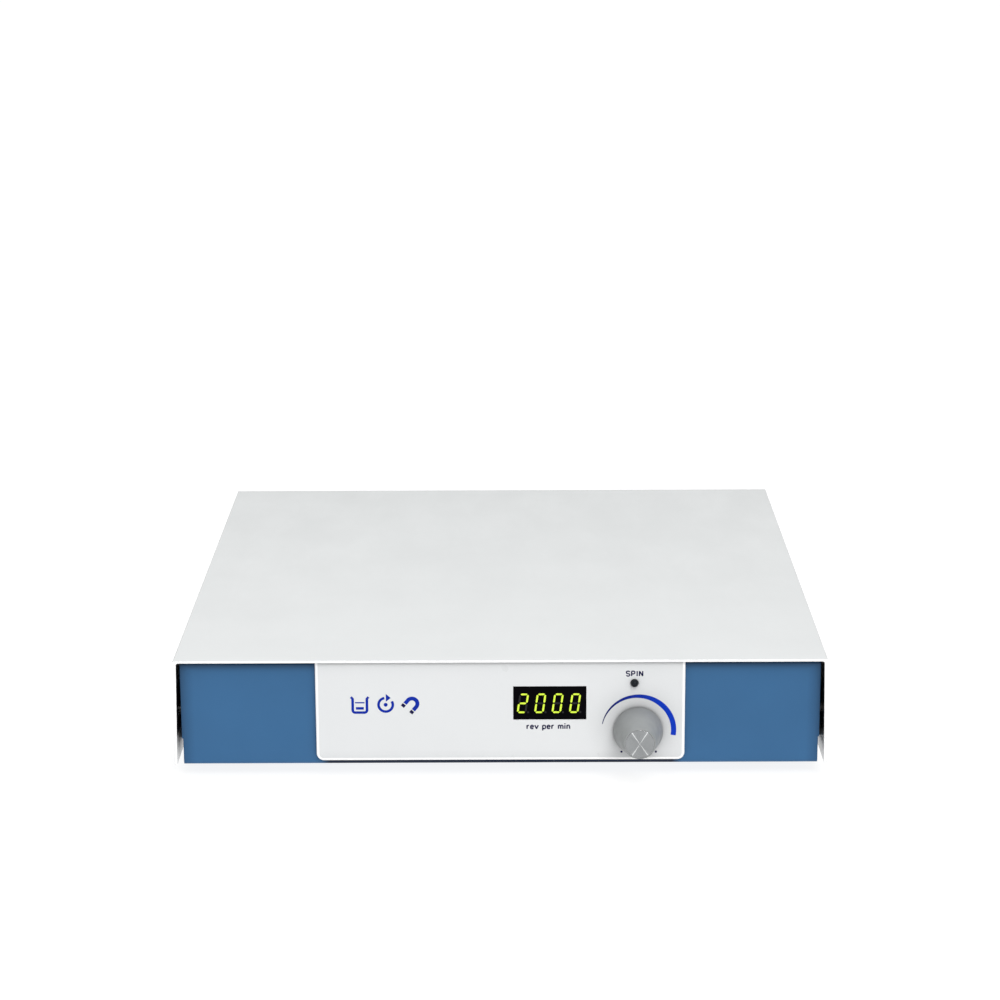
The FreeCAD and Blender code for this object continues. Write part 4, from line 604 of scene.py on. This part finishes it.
def piece_from(name, ribbons, material, body="case", to_world=None):
    """A thin printed shape from ribbons, standing just off a face. A ribbon is two equally long
    rows of (x, z) points, one along each of its sides."""
    made = bmesh.new()
    for first, second in ribbons:
        rows = [[made.verts.new((x, y, z)) for x, z in side]
                for side in (first, second) for y in (-PRINT_PROUD, PRINT_SUNK)]
        top_front, top_back, low_front, low_back = rows
        for i in range(len(first) - 1):
            for left, right in ((low_front, top_front), (top_back, low_back),
                                (top_front, top_back), (low_back, low_front)):
                made.faces.new((left[i], left[i + 1], right[i + 1], right[i]))
        for i in (0, -1):
            made.faces.new((top_front[i], top_back[i], low_back[i], low_front[i]))
    bmesh.ops.recalc_face_normals(made, faces=made.faces)
    mesh = bpy.data.meshes.new(name)
    made.to_mesh(mesh)
    made.free()
    mesh.transform(to_world or Matrix.Translation((0, PANEL_FACE, 0)))
    piece = bpy.data.objects.new(name, mesh)
    bpy.context.scene.collection.objects.link(piece)
    mesh.materials.append(material)
    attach(piece, body)
    return piece


def ribbon(points, width):
    """A line of even width through points."""
    first, second = [], []
    for i, here in enumerate(points):
        before, after = points[max(i - 1, 0)], points[min(i + 1, len(points) - 1)]
        dx, dz = after[0] - before[0], after[1] - before[1]
        length = math.hypot(dx, dz)
        nx, nz = -dz / length * width / 2, dx / length * width / 2
        first.append((here[0] + nx, here[1] + nz))
        second.append((here[0] - nx, here[1] - nz))
    return first, second


def arc_points(x, z, radius, start, end, steps):
    spots = []
    for i in range(steps + 1):
        angle = math.radians(start + (end - start) * i / steps)
        spots.append((x + radius * math.cos(angle), z + radius * math.sin(angle)))
    return spots


def dot(x, z, radius):
    return arc_points(x, z, radius, 172, 8, 12), arc_points(x, z, radius, 188, 352, 12)


def bar(x, z, width, height):
    """An upright or lying bar by its middle."""
    if width > height:
        return ribbon([(x - width / 2, z), (x + width / 2, z)], height)
    return ribbon([(x, z - height / 2), (x, z + height / 2)], width)


ARC_MIDDLE = (0.35 * MM, 0.05 * MM)      # from the knob's axis
ARC_OUTER = 15.2 * MM
ARC_START, ARC_FULL, ARC_END = 170.0, 50.0, -9.0
ARC_THIN, ARC_THICK = 0.25 * MM, 2.1 * MM
ARC_STEPS = 72
DOT_FROM_KNOB = (7.0 * MM, -9.3 * MM)
DOT_RADIUS = 0.45 * MM


def make_speed_scale(blue, navy):
    """The crescent over the knob that swells towards full speed, and a dot at each end of travel."""
    x, z = KNOB.x + ARC_MIDDLE[0], KNOB.z + ARC_MIDDLE[1]
    outer, inner = [], []
    for i in range(ARC_STEPS + 1):
        degrees = ARC_START + (ARC_END - ARC_START) * i / ARC_STEPS
        swell = min(1.0, (ARC_START - degrees) / (ARC_START - ARC_FULL))
        width = ARC_THIN + (ARC_THICK - ARC_THIN) * swell
        angle = math.radians(degrees)
        for radius, spots in ((ARC_OUTER, outer), (ARC_OUTER - width, inner)):
            spots.append((x + radius * math.cos(angle), z + radius * math.sin(angle)))
    piece_from("speed_arc", [(outer, inner)], blue)
    dots = [dot(x + side * DOT_FROM_KNOB[0], KNOB.z + DOT_FROM_KNOB[1], DOT_RADIUS)
            for side in (-1, 1)]
    piece_from("travel_dots", dots, navy)


SIGN_X, SIGN_Z = -46.5 * MM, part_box("control_panel")[1].z - 18.0 * MM     # the middle sign
SIGN_PITCH = 10.5 * MM
LINE = 1.05 * MM
MAGNET_LEAN = -40.0     # degrees


def make_pictograms(blue, navy):
    """Three plain signs in a row: a vessel with a stirring bar, a turning arrow and a magnet."""
    x, z = SIGN_X - SIGN_PITCH, SIGN_Z
    half, tall = 2.9 * MM, 3.3 * MM
    wall = ([(x - half - 0.7 * MM, z + tall), (x - half, z + tall - 0.7 * MM)]
            + arc_points(x - half + 1.0 * MM, z - tall + 1.0 * MM, 1.0 * MM, 180, 270, 5)
            + arc_points(x + half - 1.0 * MM, z - tall + 1.0 * MM, 1.0 * MM, -90, 0, 5)
            + [(x + half, z + tall - 0.7 * MM), (x + half + 0.7 * MM, z + tall)])
    piece_from("vessel_sign", [ribbon(wall, LINE), bar(x, z - 1.5 * MM, 3.2 * MM, LINE),
                               bar(x, z + 0.9 * MM, 3.8 * MM, 0.5 * MM)], blue)

    x = SIGN_X
    ring = arc_points(x, z, 2.9 * MM, 30, -260, 30)
    head = ([(x + 0.1 * MM, z + 4.6 * MM), (x + 2.0 * MM, z + 2.95 * MM)],
            [(x + 0.1 * MM, z + 1.3 * MM), (x + 2.0 * MM, z + 2.85 * MM)])
    piece_from("turning_sign", [ribbon(ring, LINE), head, dot(x, z, 0.8 * MM)], blue)

    x = SIGN_X + SIGN_PITCH
    lean = Matrix.Rotation(math.radians(MAGNET_LEAN), 2)

    def leant(points):
        spots = [lean @ Vector(point) for point in points]
        return [(x + spot.x, z + 0.2 * MM + spot.y) for spot in spots]

    arms = [(-2.2 * MM, -1.5 * MM)] + arc_points(0, 0.3 * MM, 2.2 * MM, 180, 0, 18)
    arms.append((2.2 * MM, -1.5 * MM))
    tips = [[(side * 2.2 * MM, -1.9 * MM), (side * 2.2 * MM, -3.2 * MM)] for side in (-1, 1)]
    piece_from("magnet_sign", [ribbon(leant(arms), 1.6 * MM)], blue)
    piece_from("magnet_sign_tips", [ribbon(leant(tip), 1.6 * MM) for tip in tips], navy)


# Plain letters as strokes on a grid: x to the right in letter widths, z up in capital heights.
LETTER_STROKES = {
    "S": [[(0.95, 0.86), (0.7, 1.0), (0.28, 1.0), (0.03, 0.82), (0.1, 0.6), (0.88, 0.4),
           (0.97, 0.18), (0.72, 0.0), (0.28, 0.0), (0.03, 0.14)]],
    "P": [[(0.08, 0.0), (0.08, 1.0)],
          [(0.08, 1.0), (0.65, 1.0), (0.92, 0.86), (0.92, 0.6), (0.65, 0.44), (0.08, 0.44)]],
    "I": [[(0.5, 1.0), (0.5, 0.0)]],
    "N": [[(0.08, 0.0), (0.08, 1.0)], [(0.08, 1.0), (0.92, 0.0)], [(0.92, 0.0), (0.92, 1.0)]],
    "r": [[(0.15, 0.0), (0.15, 0.7)], [(0.15, 0.42), (0.45, 0.66), (0.9, 0.68)]],
    "e": [[(0.06, 0.36), (0.95, 0.36)],
          [(0.95, 0.36), (0.85, 0.6), (0.5, 0.7), (0.15, 0.6), (0.04, 0.35), (0.15, 0.1),
           (0.5, 0.0), (0.88, 0.08)]],
    "v": [[(0.0, 0.7), (0.5, 0.0)], [(0.5, 0.0), (1.0, 0.7)]],
    "p": [[(0.08, -0.32), (0.08, 0.7)],
          [(0.08, 0.5), (0.4, 0.7), (0.78, 0.66), (0.95, 0.35), (0.78, 0.04), (0.4, 0.0),
           (0.08, 0.2)]],
    "m": [[(0.04, 0.0), (0.04, 0.7)],
          [(0.04, 0.48), (0.24, 0.7), (0.44, 0.64), (0.5, 0.4), (0.5, 0.0)],
          [(0.5, 0.48), (0.7, 0.7), (0.9, 0.64), (0.96, 0.4), (0.96, 0.0)]],
    "i": [[(0.5, 0.0), (0.5, 0.7)], [(0.5, 0.88), (0.5, 1.04)]],
    "n": [[(0.1, 0.0), (0.1, 0.7)],
          [(0.1, 0.46), (0.4, 0.7), (0.75, 0.66), (0.9, 0.4), (0.9, 0.0)]],
}
LETTER_WIDTH = 0.85
OTHER_WIDTHS = {"I": 0.3, "i": 0.3, " ": 0.5, "m": 1.25, "r": 0.65}
LETTER_GAP = 0.30
LETTER_LINE = 0.50 * MM


def make_label(name, words, place, height, material):
    """Words set in stroke letters between two x places, standing on a base line."""
    left, right, base = place
    shares = [OTHER_WIDTHS.get(letter, LETTER_WIDTH) for letter in words]
    unit = (right - left) / (sum(shares) + LETTER_GAP * (len(words) - 1))
    x, ribbons = left, []
    for letter, share in zip(words, shares):
        for stroke in LETTER_STROKES.get(letter, []):
            points = [(x + u * share * unit, base + v * height) for u, v in stroke]
            ribbons.append(ribbon(points, LETTER_LINE))
        x += (share + LETTER_GAP) * unit
    piece_from(name, ribbons, material)


def make_print():
    navy = surface("navy_print", (0.007, 0.005, 0.055), 0.5, tint=0.12, tint_scale=500,
                   grain=0.003, specular=0.1)
    tree = Tree("blue_print")
    across = tree.spread(tree.split(tree.coordinates)[0], 0.0, 1.0,
                         KNOB.x - 0.9 * ARC_OUTER, KNOB.x + 0.6 * ARC_OUTER)
    drift = tree.spread(tree.noise(500.0), 0.0, 0.12)
    blue = tree.mix(across, (0.012, 0.014, 0.075, 1.0), (0.0020, 0.034, 0.46, 1.0))
    tree.set(Base_Color=tree.mix(drift, blue, (0.03, 0.09, 0.55, 1.0)),
             Roughness=tree.spread(tree.noise(300.0), 0.42, 0.55), Specular_IOR_Level=0.06)
    make_speed_scale(tree.material, navy)
    sign_blue = surface("sign_blue", (0.006, 0.026, 0.33), 0.5, tint=0.10, tint_scale=500,
                        grain=0.003, specular=0.06)
    make_pictograms(sign_blue, navy)
    make_label("speed_unit", "rev per min",
               (DISPLAY.x - 9.4 * MM, DISPLAY.x + 8.2 * MM, DISPLAY.z - 11.0 * MM),
               2.2 * MM, navy)
    make_label("light_label", "SPIN",
               (LIGHT.x - 3.4 * MM, LIGHT.x + 3.4 * MM, LIGHT.z + 3.0 * MM), 2.05 * MM, navy)


ROCKER_THROW = 8.0     # degrees from level at rest
ROCKER_END, ROCKER_DIP, ROCKER_HALF = 5.2 * MM, 3.9 * MM, 8.2 * MM
MARK_PLACE = 0.55     # along each half of the rocker, from its dip to its end


def make_switch_marks():
    """The bar and ring moulded in white on the two halves of the rocker."""
    white = surface("white_mark", (0.75, 0.75, 0.75), 0.45, tint=0.05, tint_scale=400,
                    grain=0.004)
    joint = [j for j in frame["joints"] if j["name"] == "power_rocker"][0]
    pivot = Vector(joint["pos_m"])
    rest = Matrix.Rotation(math.radians(ROCKER_THROW), 4, "X")
    slope = math.atan2(ROCKER_END - ROCKER_DIP, ROCKER_HALF)
    for name, side, ribbons in (
            ("switch_bar", 1, [bar(0, 0, 0.5 * MM, 2.6 * MM)]),
            ("switch_ring", -1, [ribbon(arc_points(0, 0, 1.15 * MM, 0, 358, 40), 0.45 * MM)])):
        up = MARK_PLACE * ROCKER_HALF
        out = ROCKER_DIP + (ROCKER_END - ROCKER_DIP) * MARK_PLACE
        face = (Matrix.Translation(pivot) @ rest @ Matrix.Translation((0, out, side * up))
                @ Matrix.Rotation(-side * slope, 4, "X") @ Matrix.Rotation(math.pi, 4, "Z"))
        piece_from(name, ribbons, white, "rocker", face)


make_camera()
make_studio()
paint_all()
make_print()
make_switch_marks()
